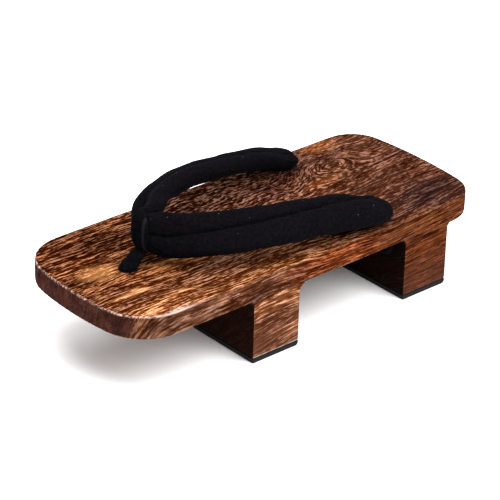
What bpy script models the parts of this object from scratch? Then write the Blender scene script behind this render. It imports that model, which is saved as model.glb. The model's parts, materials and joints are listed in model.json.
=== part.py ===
"""A geta: a wooden sandal of one carved block, with a padded V strap and a toe loop.

The block is a flat deck on two cross teeth, each shod with a thin rubber pad. The strap is one padded tube,
folded at the toe side, where the loop binds it. Its ends and the loop's stem go down through the deck into
plain knots. Metres, +Z up. The origin is on the floor under the middle of the deck, the toe points along -Y,
and the sandal is its own mirror image in X.
"""

import math

import bmesh
import bpy
from mathutils import Matrix, Vector

MM = 0.001
GAP = 0.3 * MM  # between pieces that touch

# The carved block
DECK_LENGTH = 240 * MM
DECK_WIDTH = 97.3 * MM
DECK_THICKNESS = 13.3 * MM
DECK_UPPER_ROUNDING = 0.9 * MM
DECK_LOWER_ROUNDING = 2 * MM
TOE_BULGE = 6.5 * MM  # how far the toe's middle stands ahead of its corners
TOE_CORNER = 26.5 * MM
HEEL_BULGE = 4.6 * MM
HEEL_CORNER = 19.6 * MM
TOE_OVERHANG = 78.2 * MM  # from the toe's middle to the front tooth
TOOTH_LENGTH = 31 * MM
TOOTH_SPACE = 74.4 * MM  # clear length between the teeth
TOOTH_HEIGHT = 32.4 * MM
TOOTH_CORNER = 1.1 * MM  # the rounding of its lower edges
TOOTH_ROUNDING = 0.7 * MM  # the rounding of its sides' edges
TOOTH_INSET = 0.1 * MM  # the saw leaves the teeth a hair inside the deck's sides
ARCH_FILLET = 4.5 * MM  # at the back root of the front tooth
ROOT_FILLET = 1.5 * MM  # at the other three roots

# The rubber pads under the teeth
PAD_THICKNESS = 2.5 * MM
PAD_NOSE = 0.6 * MM
PAD_WORN_CORNER = 2 * MM  # the back lower edge, worn round by walking
PAD_ROUNDING = 0.3 * MM

# The holes for the strap's ends and the loop's stem
FRONT_HOLE_SETBACK = 36 * MM  # from the toe's middle
REAR_HOLE_LEAD = 7 * MM  # from the rear tooth forward to the hole's middle
REAR_HOLE_SPREAD = 73.6 * MM
HOLE_RADIUS = 4.8 * MM

# The padded strap
STRAP_WIDTH = 25 * MM
STRAP_THICKNESS = 11 * MM
STRAP_LIFT = 10.3 * MM  # clear height under the strap where it arches most
STRAP_SETBACK = 8.6 * MM  # from the front hole back to the strap's folded middle
STRAP_FULLNESS = 2.5  # of a section: 2 is an oval and more is squarer
SEAM_DEPTH = 1.6 * MM
SEAM_SPREAD = 46  # degrees of the section over which the padding dips to the seam
BEND_SLACK = 0.5 * MM  # inner radius where a strap end turns down into its hole
KNOT_WIDTH = 15 * MM
KNOT_THICKNESS = 10.6 * MM
KNOT_HEIGHT = 8 * MM

# The toe loop
LOOP_THICKNESS = 1.8 * MM
LOOP_HIDDEN_THICKNESS = 0.8 * MM  # where it passes inside the strap's fold
STEM_RADIUS = 4.1 * MM

# Where the named sizes put things
TOOTH_FOOT = PAD_THICKNESS + GAP
DECK_UNDER = TOOTH_FOOT + TOOTH_HEIGHT
DECK_TOP = DECK_UNDER + DECK_THICKNESS
TOE_Y = -DECK_LENGTH / 2
HEEL_Y = DECK_LENGTH / 2
FRONT_TOOTH_Y = TOE_Y + TOE_OVERHANG
REAR_TOOTH_Y = FRONT_TOOTH_Y + TOOTH_LENGTH + TOOTH_SPACE
FRONT_HOLE_Y = TOE_Y + FRONT_HOLE_SETBACK
REAR_HOLE_X = REAR_HOLE_SPREAD / 2
REAR_HOLE_Y = REAR_TOOTH_Y - REAR_HOLE_LEAD
FOLD_Y = FRONT_HOLE_Y + STRAP_SETBACK
NECK_WIDTH = 2 * (HOLE_RADIUS - GAP)
BEND_RADIUS = STRAP_THICKNESS / 2 + BEND_SLACK
BEND_Y = REAR_HOLE_Y - BEND_RADIUS

# Half of the strap, from its folded middle to where it starts down to the rear hole. Across is a share of
# the way out to that hole and along of the way back to it, lift is a share of STRAP_LIFT under the strap,
# tilt is how many degrees its face leans back from upright, width and thick are shares of the strap's own,
# seam is the seam's height on the face from -1 to 1, and crease is a share of the seam's depth.
STRAP_COLUMNS = ("across", "along", "lift", "tilt", "width", "thick", "seam", "crease")
STRAP_ROWS = (
    (0.000, 0.000, 0.92, 0, 0.76, 0.40, 0.00, 0.0),
    (0.073, 0.008, 0.86, 1, 0.80, 0.46, 0.00, 0.0),
    (0.132, 0.032, 0.62, 4, 0.89, 0.74, 0.00, 0.4),
    (0.158, 0.063, 0.42, 10, 0.95, 0.90, -0.02, 1.0),
    (0.416, 0.138, 0.63, 34, 0.93, 0.95, -0.02, 1.0),
    (0.671, 0.233, 0.97, 56, 0.96, 0.92, 0.00, 1.0),
    (0.916, 0.440, 1.00, 68, 1.00, 1.00, 0.08, 1.0),
    (0.992, 0.678, 0.75, 74, 1.00, 0.98, 0.20, 1.0),
    (1.027, 0.884, 0.36, 78, 0.98, 1.00, 0.32, 1.0),
    (1.000, 1.000, 0.05, 84, 0.88, 0.96, 0.44, 1.0),
)
ROW_STEPS = 3  # rings from one row to the next

# The strap's end on its way down: turn is degrees of its bend, and width lies between the strap's own and
# the neck's, from 1 to 0.
BEND_COLUMNS = ("turn", "width", "crease")
BEND_ROWS = (
    (20, 0.90, 1.0),
    (40, 0.70, 0.8),
    (58, 0.44, 0.5),
    (75, 0.17, 0.2),
    (90, 0.00, 0.0),
)

# A knot under the deck: shares of its height down from the deck, and of its width.
KNOT_COLUMNS = ("down", "width")
KNOT_ROWS = ((0.00, 0.74), (0.20, 0.97), (0.50, 1.00), (0.80, 0.84), (1.00, 0.46))

# The stem between the deck and the fold: shares of the way up, and of the stem's radius.
STEM_COLUMNS = ("up", "radius")
STEM_ROWS = ((0.00, 1.05), (0.30, 1.08), (0.60, 1.00), (0.85, 0.84), (1.00, 0.62))

# The loop is a band laid on the strap's own surface. Reach is how far it goes to either side of the fold,
# counted in rows of the strap's table.
LOOP_FRONT_REACH = 1.35
LOOP_HIDDEN_REACH = 0.75
LOOP_STEPS = 28
LOOP_RIM = 0.45  # thickness at its rims, as a share of its thickness

RING_POINTS = 26
SEAM_OFFSETS = (-46, -28, -14, -5, 0, 5, 14, 28, 46)  # degrees from the seam to the ring's points by it


def named_rows(columns, rows):
    """The rows of a table as dictionaries."""
    return [dict(zip(columns, row)) for row in rows]


def clear_scene():
    """Removes whatever the scene holds."""
    for obj in list(bpy.data.objects):
        bpy.data.objects.remove(obj)


def new_collection(name):
    """A collection in the scene."""
    made = bpy.data.collections.new(name)
    bpy.context.scene.collection.children.link(made)
    return made


def new_material(name, colour, roughness):
    """A Principled material that isn't metallic."""
    made = bpy.data.materials.new(name)
    made.use_nodes = True
    shader = made.node_tree.nodes["Principled BSDF"]
    shader.inputs["Base Color"].default_value = (*colour, 1)
    shader.inputs["Roughness"].default_value = roughness
    shader.inputs["Metallic"].default_value = 0
    made.diffuse_color = (*colour, 1)
    return made


def mesh_object(name, mesh, collection, material=None):
    """An object of this mesh in this collection."""
    obj = bpy.data.objects.new(name, mesh)
    collection.objects.link(obj)
    if material:
        obj.data.materials.append(material)
    return obj


def boolean(obj, other, operation):
    """Joins other to obj or cuts it from obj, and marks other as a helper."""
    modifier = obj.modifiers.new(operation.lower() + "_" + other.name, "BOOLEAN")
    modifier.operation = operation
    modifier.object = other
    modifier.solver = "EXACT"
    other.hide_render = True
    other.display_type = "WIRE"


def arc(centre, radius, start, stop, steps):
    """Points on an arc, with angles in degrees, both ends included."""
    points = []
    for i in range(steps + 1):
        angle = math.radians(start + (stop - start) * i / steps)
        points.append((centre[0] + radius * math.cos(angle), centre[1] + radius * math.sin(angle)))
    return points


def flat_solid(name, outline, depth, roundings, placement, collection, material=None):
    """A closed outline made depth thick and moved by placement, with its lower and upper rims rounded."""
    curve = bpy.data.curves.new(name, "CURVE")
    curve.dimensions = "2D"
    curve.fill_mode = "BOTH"
    curve.extrude = depth / 2
    spline = curve.splines.new("POLY")
    spline.points.add(len(outline) - 1)
    for point, (x, y) in zip(spline.points, outline):
        point.co = (x, y, 0, 1)
    spline.use_cyclic_u = True
    shape = bpy.data.objects.new(name + "_outline", curve)
    collection.objects.link(shape)
    graph = bpy.context.evaluated_depsgraph_get()
    mesh = bpy.data.meshes.new_from_object(shape.evaluated_get(graph))
    bpy.data.objects.remove(shape)
    mesh.name = name
    mesh.materials.clear()
    work = bmesh.new()
    work.from_mesh(mesh)
    bmesh.ops.remove_doubles(work, verts=work.verts, dist=0.001 * MM)
    bmesh.ops.dissolve_limit(work, angle_limit=math.radians(0.5), verts=work.verts, edges=work.edges)
    bmesh.ops.recalc_face_normals(work, faces=work.faces)
    weight = work.edges.layers.float.new("bevel_weight_edge")
    lower, upper = roundings
    for edge in work.edges:
        ends = [vert.co.z for vert in edge.verts]
        if max(ends) < 0:
            edge[weight] = lower / max(roundings)
        elif min(ends) > 0:
            edge[weight] = upper / max(roundings)
    work.to_mesh(mesh)
    work.free()
    mesh.transform(placement)
    obj = mesh_object(name, mesh, collection, material)
    bevel = obj.modifiers.new("rounded_rims", "BEVEL")
    bevel.limit_method = "WEIGHT"
    bevel.width = max(roundings)
    bevel.segments = 3
    return obj


def lofted_solid(name, rings, closed, collection, material=None):
    """A skin over rings of equally many points, its ends capped, or run on to the first ring if closed."""
    work = bmesh.new()
    made = [[work.verts.new(point) for point in ring] for ring in rings]
    pairs = list(zip(made, made[1:]))
    if closed:
        pairs.append((made[-1], made[0]))
    for ring, following in pairs:
        for i in range(len(ring)):
            j = (i + 1) % len(ring)
            work.faces.new((ring[i], ring[j], following[j], following[i]))
    if not closed:
        for ring in (made[0], made[-1]):
            middle = work.verts.new(sum((vert.co for vert in ring), Vector()) / len(ring))
            for i in range(len(ring)):
                work.faces.new((ring[i], ring[(i + 1) % len(ring)], middle))
    bmesh.ops.recalc_face_normals(work, faces=work.faces)
    mesh = bpy.data.meshes.new(name)
    work.to_mesh(mesh)
    work.free()
    mesh.shade_smooth()
    return mesh_object(name, mesh, collection, material)


def end_outline(bulge, corner):
    """Half of an end of the deck, from its middle to its side, as if it lay at y = 0 and pointed to -y.

    A wide arc crosses the end, and a corner arc runs from it into the straight side.
    """
    half = DECK_WIDTH / 2
    wide = (half**2 + bulge**2) / (2 * bulge)
    corner_y = wide - math.sqrt((wide - corner) ** 2 - (half - corner) ** 2)
    turn = math.degrees(math.atan2(wide - corner_y, half - corner))
    points = arc((0, wide), wide, -90, -turn, 5)
    points += arc((half - corner, corner_y), corner, -turn, 0, 8)[1:]
    return points


def deck_outline():
    """The deck seen from above, anticlockwise."""
    toe = [(x, TOE_Y + y) for x, y in end_outline(TOE_BULGE, TOE_CORNER)]
    heel = [(x, HEEL_Y - y) for x, y in end_outline(HEEL_BULGE, HEEL_CORNER)]
    right = toe + heel[::-1]
    left = [(-x, y) for x, y in right[::-1][1:-1]]
    return right + left


def tooth_profile(front, back_fillet):
    """A tooth from its side, as (y, z), with flared roots that run up into the deck."""
    back = front + TOOTH_LENGTH
    buried_z = DECK_UNDER + DECK_THICKNESS / 2
    flare = 75  # degrees, so that a root meets the deck's underside at a clear angle
    points = arc((front + TOOTH_CORNER, TOOTH_FOOT + TOOTH_CORNER), TOOTH_CORNER, 180, 270, 3)
    points += arc((back - TOOTH_CORNER, TOOTH_FOOT + TOOTH_CORNER), TOOTH_CORNER, -90, 0, 3)
    points += arc((back + back_fillet, DECK_UNDER - back_fillet), back_fillet, 180, 180 - flare, 4)
    points.append((points[-1][0], buried_z))
    front_root = arc((front - ROOT_FILLET, DECK_UNDER - ROOT_FILLET), ROOT_FILLET, flare, 0, 4)
    points.append((front_root[0][0], buried_z))
    return points + front_root


def pad_profile(front):
    """A rubber pad from its side, as (y, z), with its back lower edge worn round."""
    back = front + TOOTH_LENGTH
    points = arc((front + PAD_NOSE, PAD_NOSE), PAD_NOSE, 180, 270, 2)
    points += arc((back - PAD_WORN_CORNER, PAD_WORN_CORNER), PAD_WORN_CORNER, -90, 0, 4)
    return points + [(back, PAD_THICKNESS), (front, PAD_THICKNESS)]


# Stands an outline of (y, z) points up, with its thickness across the sandal.
ACROSS = Matrix(((0, 0, 1, 0), (1, 0, 0, 0), (0, 1, 0, 0), (0, 0, 0, 1)))


def make_drill(name, x, y, collection):
    """A cutter for a hole through the deck."""
    bpy.ops.mesh.primitive_cylinder_add(
        vertices=28,
        radius=HOLE_RADIUS,
        depth=2 * DECK_THICKNESS,
        location=(x, y, DECK_UNDER + DECK_THICKNESS / 2),
    )
    drill = bpy.context.object
    drill.name = name
    for owner in list(drill.users_collection):
        owner.objects.unlink(drill)
    collection.objects.link(drill)
    return drill


def make_block(collection, helpers, wood):
    """The deck with its two teeth, carved from one piece of wood and drilled."""
    middle = Matrix.Translation((0, 0, DECK_UNDER + DECK_THICKNESS / 2))
    rims = (DECK_LOWER_ROUNDING, DECK_UPPER_ROUNDING)
    block = flat_solid("wood_block", deck_outline(), DECK_THICKNESS, rims, middle, collection, wood)
    width = DECK_WIDTH - 2 * TOOTH_INSET
    rims = (TOOTH_ROUNDING, TOOTH_ROUNDING)
    for name, front, fillet in (
        ("front_tooth", FRONT_TOOTH_Y, ARCH_FILLET),
        ("rear_tooth", REAR_TOOTH_Y, ROOT_FILLET),
    ):
        tooth = flat_solid(name, tooth_profile(front, fillet), width, rims, ACROSS, helpers)
        boolean(block, tooth, "UNION")
    for name, x, y in (
        ("front_hole", 0, FRONT_HOLE_Y),
        ("left_hole", REAR_HOLE_X, REAR_HOLE_Y),
        ("right_hole", -REAR_HOLE_X, REAR_HOLE_Y),
    ):
        boolean(block, make_drill(name, x, y, helpers), "DIFFERENCE")


def make_pad(name, front, collection, rubber):
    """A rubber pad glued under a tooth."""
    width = DECK_WIDTH - 2 * TOOTH_INSET
    flat_solid(name, pad_profile(front), width, (PAD_ROUNDING, PAD_ROUNDING), ACROSS, collection, rubber)


def mirrored_row(row):
    """A row of the strap's table on the other side of the fold."""
    return [-row[0], *row[1:]]


def strap_row(place):
    """The strap's table at a place between its rows, and how each value changes there, both as dictionaries.

    A smooth cubic runs through the rows. A place below 0 is on the other side of the fold.
    """
    rows = [mirrored_row(STRAP_ROWS[1]), *STRAP_ROWS]
    rows.append([2 * last - before for last, before in zip(rows[-1], rows[-2])])
    i = min(int(abs(place)), len(STRAP_ROWS) - 2)
    t = abs(place) - i
    values = []
    changes = []
    for a, b, c, d in zip(*rows[i : i + 4]):
        square = 2 * a - 5 * b + 4 * c - d
        cube = 3 * b - a - 3 * c + d
        values.append(0.5 * (2 * b + (c - a) * t + square * t**2 + cube * t**3))
        changes.append(0.5 * (c - a + 2 * square * t + 3 * cube * t**2))
    if place < 0:
        values = mirrored_row(values)
        changes = mirrored_row(changes)
    return dict(zip(STRAP_COLUMNS, values)), dict(zip(STRAP_COLUMNS, changes))


def lower_reach(tilt, width, thick):
    """How far an oval reaches below its middle when its face leans back by tilt degrees."""
    lean = math.radians(tilt)
    return math.hypot(width / 2 * math.cos(lean), thick / 2 * math.sin(lean))


def strap_station(place):
    """Where the strap's section stands at a place of its table: its middle, its frame and its sizes."""
    row, change = strap_row(place)
    width = row["width"] * STRAP_WIDTH
    thick = row["thick"] * STRAP_THICKNESS
    length = BEND_Y - FOLD_Y
    z = DECK_TOP + row["lift"] * STRAP_LIFT + lower_reach(row["tilt"], width, thick)
    middle = Vector((row["across"] * REAR_HOLE_X, FOLD_Y + row["along"] * length, z))
    heading = Vector((change["across"] * REAR_HOLE_X, change["along"] * length, 0)).normalized()
    if place < 0:
        heading = -heading
    return {
        "middle": middle,
        "heading": heading,
        "turn": 0,
        "tilt": row["tilt"],
        "width": width,
        "thick": thick,
        "seam": row["seam"],
        "crease": row["crease"],
    }


def section_point(station, angle, lift=0.0, dip=0.0, fullness=STRAP_FULLNESS):
    """A point on the strap's section, lifted off its skin by lift, or sunk into its face by dip.

    Angle is in degrees: 0 is the upper edge, 90 the outer face, 180 the lower edge and 270 the inner face.
    """
    heading = station["heading"]
    turn = math.radians(station["turn"])
    lean = math.radians(station["tilt"])
    outward = Vector((heading.y, -heading.x, 0))
    over = Vector((0, 0, math.cos(turn))) + heading * math.sin(turn)
    face = outward * math.cos(lean) + over * math.sin(lean)
    edge = over * math.cos(lean) - outward * math.sin(lean)
    c = math.cos(math.radians(angle))
    s = math.sin(math.radians(angle))
    along = math.copysign(abs(c) ** (2 / fullness), c) * station["width"] / 2
    out = math.copysign(abs(s) ** (2 / fullness), s) * station["thick"] / 2
    away = Vector((c / station["width"], s / station["thick"])).normalized() * lift
    return station["middle"] + edge * (along + away.x) + face * (out + away.y - dip)


def ring_angles(seam):
    """The angles of a ring's points, close together by the seam, and the seam's own angle."""
    seam_angle = math.degrees(math.acos(seam))
    near = [seam_angle + offset for offset in SEAM_OFFSETS]
    rest = RING_POINTS - len(near)
    start = near[-1]
    span = 360 - (near[-1] - near[0])
    return near + [start + span * (i + 1) / (rest + 1) for i in range(rest)], seam_angle


def strap_ring(station):
    """A ring of points round the strap, with the padding dipping to the seam on its face."""
    angles, seam_angle = ring_angles(station["seam"])
    points = []
    for angle in angles:
        nearness = max(0, 1 - abs(angle - seam_angle) / SEAM_SPREAD)
        dip = station["crease"] * SEAM_DEPTH * nearness**2
        points.append(section_point(station, angle, dip=dip, fullness=station.get("fullness", STRAP_FULLNESS)))
    return points


def strap_stations():
    """Half of the strap, from its folded middle over the foot and down through the deck to its knot."""
    stations = []
    for i in range(ROW_STEPS * (len(STRAP_ROWS) - 1) + 1):
        stations.append(strap_station(i / ROW_STEPS))
    last = stations[-1]
    centre = last["middle"] - Vector((0, 0, BEND_RADIUS))
    for row in named_rows(BEND_COLUMNS, BEND_ROWS):
        turn = math.radians(row["turn"])
        across = last["heading"] * math.sin(turn) + Vector((0, 0, math.cos(turn)))
        stations.append(
            {
                **last,
                "middle": centre + across * BEND_RADIUS,
                "turn": row["turn"],
                "width": NECK_WIDTH + row["width"] * (last["width"] - NECK_WIDTH),
                "thick": NECK_WIDTH + row["width"] * (last["thick"] - NECK_WIDTH),
                "crease": row["crease"] * last["crease"],
                "fullness": 2 + row["width"] * (STRAP_FULLNESS - 2),
            }
        )
    neck = stations[-1]
    neck["heading"] = Vector((0, 1, 0))
    neck["middle"].x = REAR_HOLE_X
    neck["middle"].y = REAR_HOLE_Y
    hole_end = Vector((REAR_HOLE_X, REAR_HOLE_Y, DECK_UNDER - GAP))
    stations.append({**neck, "middle": hole_end})
    for row in named_rows(KNOT_COLUMNS, KNOT_ROWS):
        middle = hole_end - Vector((0, 0, row["down"] * KNOT_HEIGHT))
        width = row["width"] * KNOT_WIDTH
        thick = row["width"] * KNOT_THICKNESS
        stations.append({**neck, "middle": middle, "width": width, "thick": thick})
    return stations


def make_strap(collection, cloth):
    """The padded strap, one tube from knot to knot."""
    half = [strap_ring(station) for station in strap_stations()]
    other = [[Vector((-point.x, point.y, point.z)) for point in ring] for ring in half]
    lofted_solid("strap", other[:0:-1] + half, False, collection, cloth)


def loop_ring(angle):
    """A section of the toe loop's band, where it lies on the strap at this angle of the strap's section."""
    front = max(0, math.sin(math.radians(angle)))
    reach = LOOP_HIDDEN_REACH + (LOOP_FRONT_REACH - LOOP_HIDDEN_REACH) * front
    thickness = LOOP_HIDDEN_THICKNESS + (LOOP_THICKNESS - LOOP_HIDDEN_THICKNESS) * front
    shares = (-1, -0.8, -0.55, -0.28, 0, 0.28, 0.55, 0.8, 1)
    inner = [section_point(strap_station(reach * share), angle, GAP) for share in shares]
    outer = []
    for share in reversed(shares):
        depth = thickness * (LOOP_RIM + (1 - LOOP_RIM) * math.sqrt(1 - share**2))
        outer.append(section_point(strap_station(reach * share), angle, GAP + depth))
    return inner + outer


def round_ring(middle, width, thick, points=20):
    """A level oval ring of points, width across the sandal and thick along it."""
    ring = []
    for i in range(points):
        angle = math.tau * i / points
        ring.append(middle + Vector((width / 2 * math.cos(angle), thick / 2 * math.sin(angle), 0)))
    return ring


def stem_rings():
    """The loop's stem, from its knot under the deck up to the strap's fold."""
    rings = []
    hole = Vector((0, FRONT_HOLE_Y, DECK_UNDER - GAP))
    for row in reversed(named_rows(KNOT_COLUMNS, KNOT_ROWS)):
        middle = hole - Vector((0, 0, row["down"] * KNOT_HEIGHT))
        rings.append(round_ring(middle, row["width"] * KNOT_WIDTH, row["width"] * KNOT_THICKNESS))
    rings.append(round_ring(hole, NECK_WIDTH, NECK_WIDTH))
    rings.append(round_ring(Vector((0, FRONT_HOLE_Y, DECK_TOP - GAP)), NECK_WIDTH, NECK_WIDTH))
    base = Vector((0, FRONT_HOLE_Y, DECK_TOP + GAP))
    top = section_point(strap_station(0), 180, GAP + LOOP_HIDDEN_THICKNESS / 2)
    for row in named_rows(STEM_COLUMNS, STEM_ROWS):
        width = 2 * row["radius"] * STEM_RADIUS
        rings.append(round_ring(base.lerp(top, row["up"]), width, width))
    return rings


def make_loop(collection, helpers, cloth):
    """The toe loop: a band round the strap's fold, with a stem that goes down through the deck."""
    turns = [360 * i / LOOP_STEPS for i in range(LOOP_STEPS)]
    loop = lofted_solid("toe_loop", [loop_ring(angle) for angle in turns], True, collection, cloth)
    stem = lofted_solid("loop_stem", stem_rings(), False, helpers)
    boolean(loop, stem, "UNION")


def main():
    """Builds the sandal."""
    clear_scene()
    sandal = new_collection("geta_sandal")
    helpers = new_collection("helpers")
    wood = new_material("burnt_wood", (0.27, 0.11, 0.045), 0.5)
    rubber = new_material("black_rubber", (0.018, 0.018, 0.02), 0.75)
    strap_cloth = new_material("strap_cloth", (0.012, 0.013, 0.017), 0.95)
    loop_cloth = new_material("loop_cloth", (0.01, 0.013, 0.018), 0.9)
    make_block(sandal, helpers, wood)
    make_pad("front_pad", FRONT_TOOTH_Y, sandal, rubber)
    make_pad("rear_pad", REAR_TOOTH_Y, sandal, rubber)
    make_strap(sandal, strap_cloth)
    make_loop(sandal, helpers, loop_cloth)


main()
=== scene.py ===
"""Looks of a geta: burnt and brushed wood, rubber pads, a padded velvet strap and its toe loop.

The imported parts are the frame. The carved block and its two pads keep their shapes and get their finishes.
The strap and the toe loop are made again as soft cloth on the routes of their solids. Metres, +Z up, the toe
along -Y, the origin on the floor under the middle of the deck. The finishes measure in millimetres.
"""

import json
import logging
import math
from dataclasses import dataclass
from enum import Enum

import bmesh
import bpy
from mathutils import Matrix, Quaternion, Vector, noise

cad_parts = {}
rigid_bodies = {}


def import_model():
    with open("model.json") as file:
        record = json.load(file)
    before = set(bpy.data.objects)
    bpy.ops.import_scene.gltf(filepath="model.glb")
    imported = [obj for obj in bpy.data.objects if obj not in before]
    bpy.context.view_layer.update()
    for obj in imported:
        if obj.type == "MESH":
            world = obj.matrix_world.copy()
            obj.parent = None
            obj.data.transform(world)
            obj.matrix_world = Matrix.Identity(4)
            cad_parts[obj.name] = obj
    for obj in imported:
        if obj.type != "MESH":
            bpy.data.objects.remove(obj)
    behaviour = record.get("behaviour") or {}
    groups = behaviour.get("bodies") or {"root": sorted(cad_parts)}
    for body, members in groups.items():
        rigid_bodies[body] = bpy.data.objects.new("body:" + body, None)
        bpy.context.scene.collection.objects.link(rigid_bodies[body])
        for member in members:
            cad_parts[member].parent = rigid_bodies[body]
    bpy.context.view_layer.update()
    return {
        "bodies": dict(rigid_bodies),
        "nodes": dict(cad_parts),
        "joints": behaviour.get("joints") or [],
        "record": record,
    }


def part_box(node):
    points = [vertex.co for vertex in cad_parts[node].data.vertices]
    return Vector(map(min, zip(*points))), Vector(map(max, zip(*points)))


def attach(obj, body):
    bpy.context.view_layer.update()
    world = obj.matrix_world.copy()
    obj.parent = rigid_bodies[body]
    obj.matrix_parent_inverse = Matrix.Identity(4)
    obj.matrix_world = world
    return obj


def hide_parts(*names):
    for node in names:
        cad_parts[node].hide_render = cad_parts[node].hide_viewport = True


MM = 0.001
PER_METRE = 1000  # millimetres
GAP = 0.3 * MM  # between pieces that touch
DECK_THICKNESS = 13.3 * MM
TINY = 1e-9  # keeps a divisor above 0
ACROSS = Vector((1, 0, 0))
ALONG = Vector((0, 1, 0))
BODY = "root"

LOG = logging.getLogger("geta")

Socket = bpy.types.NodeSocket
Colour = tuple[float, float, float]
Pair = tuple[float, float]
Value = float | Socket


class Slot(Enum):
    """The soft pieces' finishes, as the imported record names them."""

    STRAP = "strap_cloth"
    LOOP = "loop_cloth"


class Side(Enum):
    """The sandal's two sides, by the sign of their X."""

    LEFT = 1
    RIGHT = -1


class Tree:
    """A node tree under construction."""

    def __init__(self, tree: bpy.types.NodeTree) -> None:
        """Takes the tree that the nodes go into."""
        self.tree = tree

    def add(self, kind: str, **settings: object) -> bpy.types.Node:
        """Adds a node.

        Args:
            kind: the node's type name, without the leading ShaderNode.
            settings: its properties.

        Returns:
            The node.
        """
        node = self.tree.nodes.new("ShaderNode" + kind)
        for name, value in settings.items():
            setattr(node, name, value)
        return node

    def feed(self, socket: Socket, value: Value | Colour) -> None:
        """Links a socket to an input, or sets the input to a plain value.

        Args:
            socket: the input.
            value: what it gets.
        """
        if isinstance(value, bpy.types.NodeSocket):
            self.tree.links.new(value, socket)
        elif isinstance(value, tuple) and socket.type == "RGBA":
            socket.default_value = (*value, 1)
        else:
            socket.default_value = value

    def math(self, operation: str, *values: Value, clamp: bool = False) -> Socket:
        """A sum of one kind over one, two or three values.

        Args:
            operation: the kind, as Blender names it.
            values: the values.
            clamp: whether the result is kept between 0 and 1.

        Returns:
            The result.
        """
        node = self.add("Math", operation=operation, use_clamp=clamp)
        for socket, value in zip(node.inputs, values):
            self.feed(socket, value)
        return node.outputs[0]

    def chain(self, operation: str, values: tuple[Value, ...]) -> Socket:
        """Joins values from left to right.

        Args:
            operation: the kind of sum that joins them.
            values: the values.

        Returns:
            The result.
        """
        result = values[0]
        for value in values[1:]:
            result = self.math(operation, result, value)
        return result

    def plus(self, *values: Value) -> Socket:
        """The sum of values."""
        return self.chain("ADD", values)

    def times(self, *values: Value) -> Socket:
        """The product of values."""
        return self.chain("MULTIPLY", values)

    def minus(self, first: Value, second: Value, clamp: bool = False) -> Socket:
        """The first value less the second."""
        return self.math("SUBTRACT", first, second, clamp=clamp)

    def squares(self, *offs: tuple[Value, float, float]) -> Socket:
        """The sum of the squares of values, each less its middle and divided by its reach.

        Args:
            offs: for each its value, its middle and its reach.

        Returns:
            The sum.
        """
        parts = []
        for value, middle, reach in offs:
            off = self.math("DIVIDE", self.minus(value, middle), reach)
            parts.append(self.times(off, off))
        return self.plus(*parts)

    def bell(self, *offs: tuple[Value, float, float]) -> Socket:
        """A bell over offs as in squares, 1 at its middle and falling to 0."""
        return self.math("EXPONENT", self.times(self.squares(*offs), -1.0))

    def scaled(self, vector: Socket, scale: float | Colour) -> Socket:
        """A vector multiplied, by one number or by one for each part.

        Args:
            vector: the vector.
            scale: the number or numbers.

        Returns:
            The product.
        """
        node = self.add("VectorMath", operation="MULTIPLY")
        self.feed(node.inputs[0], vector)
        self.feed(node.inputs[1], scale if isinstance(scale, tuple) else (scale,) * 3)
        return node.outputs[0]

    def parts(self, vector: Socket) -> tuple[Socket, Socket, Socket]:
        """A vector's X, Y and Z.

        Args:
            vector: the vector.

        Returns:
            Its three parts.
        """
        node = self.add("SeparateXYZ")
        self.feed(node.inputs[0], vector)
        return node.outputs[0], node.outputs[1], node.outputs[2]

    def step(self, value: Value, low: float, high: float, first: Value = 0.0, last: Value = 1.0) -> Socket:
        """A smooth step.

        Args:
            value: what it follows.
            low: where it starts; it may lie above high.
            high: where it ends.
            first: the result on low's side.
            last: the result on high's side.

        Returns:
            The result.
        """
        node = self.add("MapRange", interpolation_type="SMOOTHSTEP")
        limits = {"Value": value, "From Min": low, "From Max": high, "To Min": first, "To Max": last}
        for name, given in limits.items():
            self.feed(node.inputs[name], given)
        return node.outputs[0]

    def noise(
        self,
        vector: Socket,
        scale: float | Colour = 1,
        detail: float = 2,
        rough: float = 0.5,
        lane: Socket | None = None,
    ) -> Socket:
        """Soft noise around a half.

        Args:
            vector: where to read it.
            scale: how many blobs there are to a unit of the vector, or of each of its parts.
            detail: how many finer layers it has.
            rough: how strong the finer layers are.
            lane: a fourth coordinate, across which it changes as well.

        Returns:
            The noise.
        """
        node = self.add("TexNoise", noise_dimensions="4D" if lane else "3D")
        self.feed(node.inputs["Vector"], vector if scale == 1 else self.scaled(vector, scale))
        self.feed(node.inputs["Scale"], 1)
        self.feed(node.inputs["Detail"], detail)
        self.feed(node.inputs["Roughness"], rough)
        if lane:
            self.feed(node.inputs["W"], lane)
        return node.outputs[0]

    def mix(
        self, share: Value, first: Colour | Socket, second: Colour | Socket, blend: str = "MIX"
    ) -> Socket:
        """Two colours blended.

        Args:
            share: how much of the second colour there is, or how strongly it acts.
            first: the first colour.
            second: the second colour.
            blend: the way of blending, as Blender names it.

        Returns:
            The blend.
        """
        node = self.add("Mix", data_type="RGBA", blend_type=blend)
        self.feed(node.inputs[0], share)
        self.feed(node.inputs[6], first)
        self.feed(node.inputs[7], second)
        return node.outputs[2]

    def tint(self, colour: Colour | Socket, factor: Colour | Socket) -> Socket:
        """A colour multiplied by another."""
        return self.mix(1.0, colour, factor, "MULTIPLY")

    def ramp(self, value: Socket, stops: tuple[tuple[float, Colour], ...]) -> Socket:
        """A colour that runs through stops.

        Args:
            value: what it follows.
            stops: for each its place and its colour.

        Returns:
            The colour.
        """
        node = self.add("ValToRGB")
        points = node.color_ramp.elements
        while len(points) < len(stops):
            points.new(1)
        for point, (place, colour) in zip(points, stops):
            point.position = place
            point.color = (*colour, 1)
        self.feed(node.inputs[0], value)
        return node.outputs[0]

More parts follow.
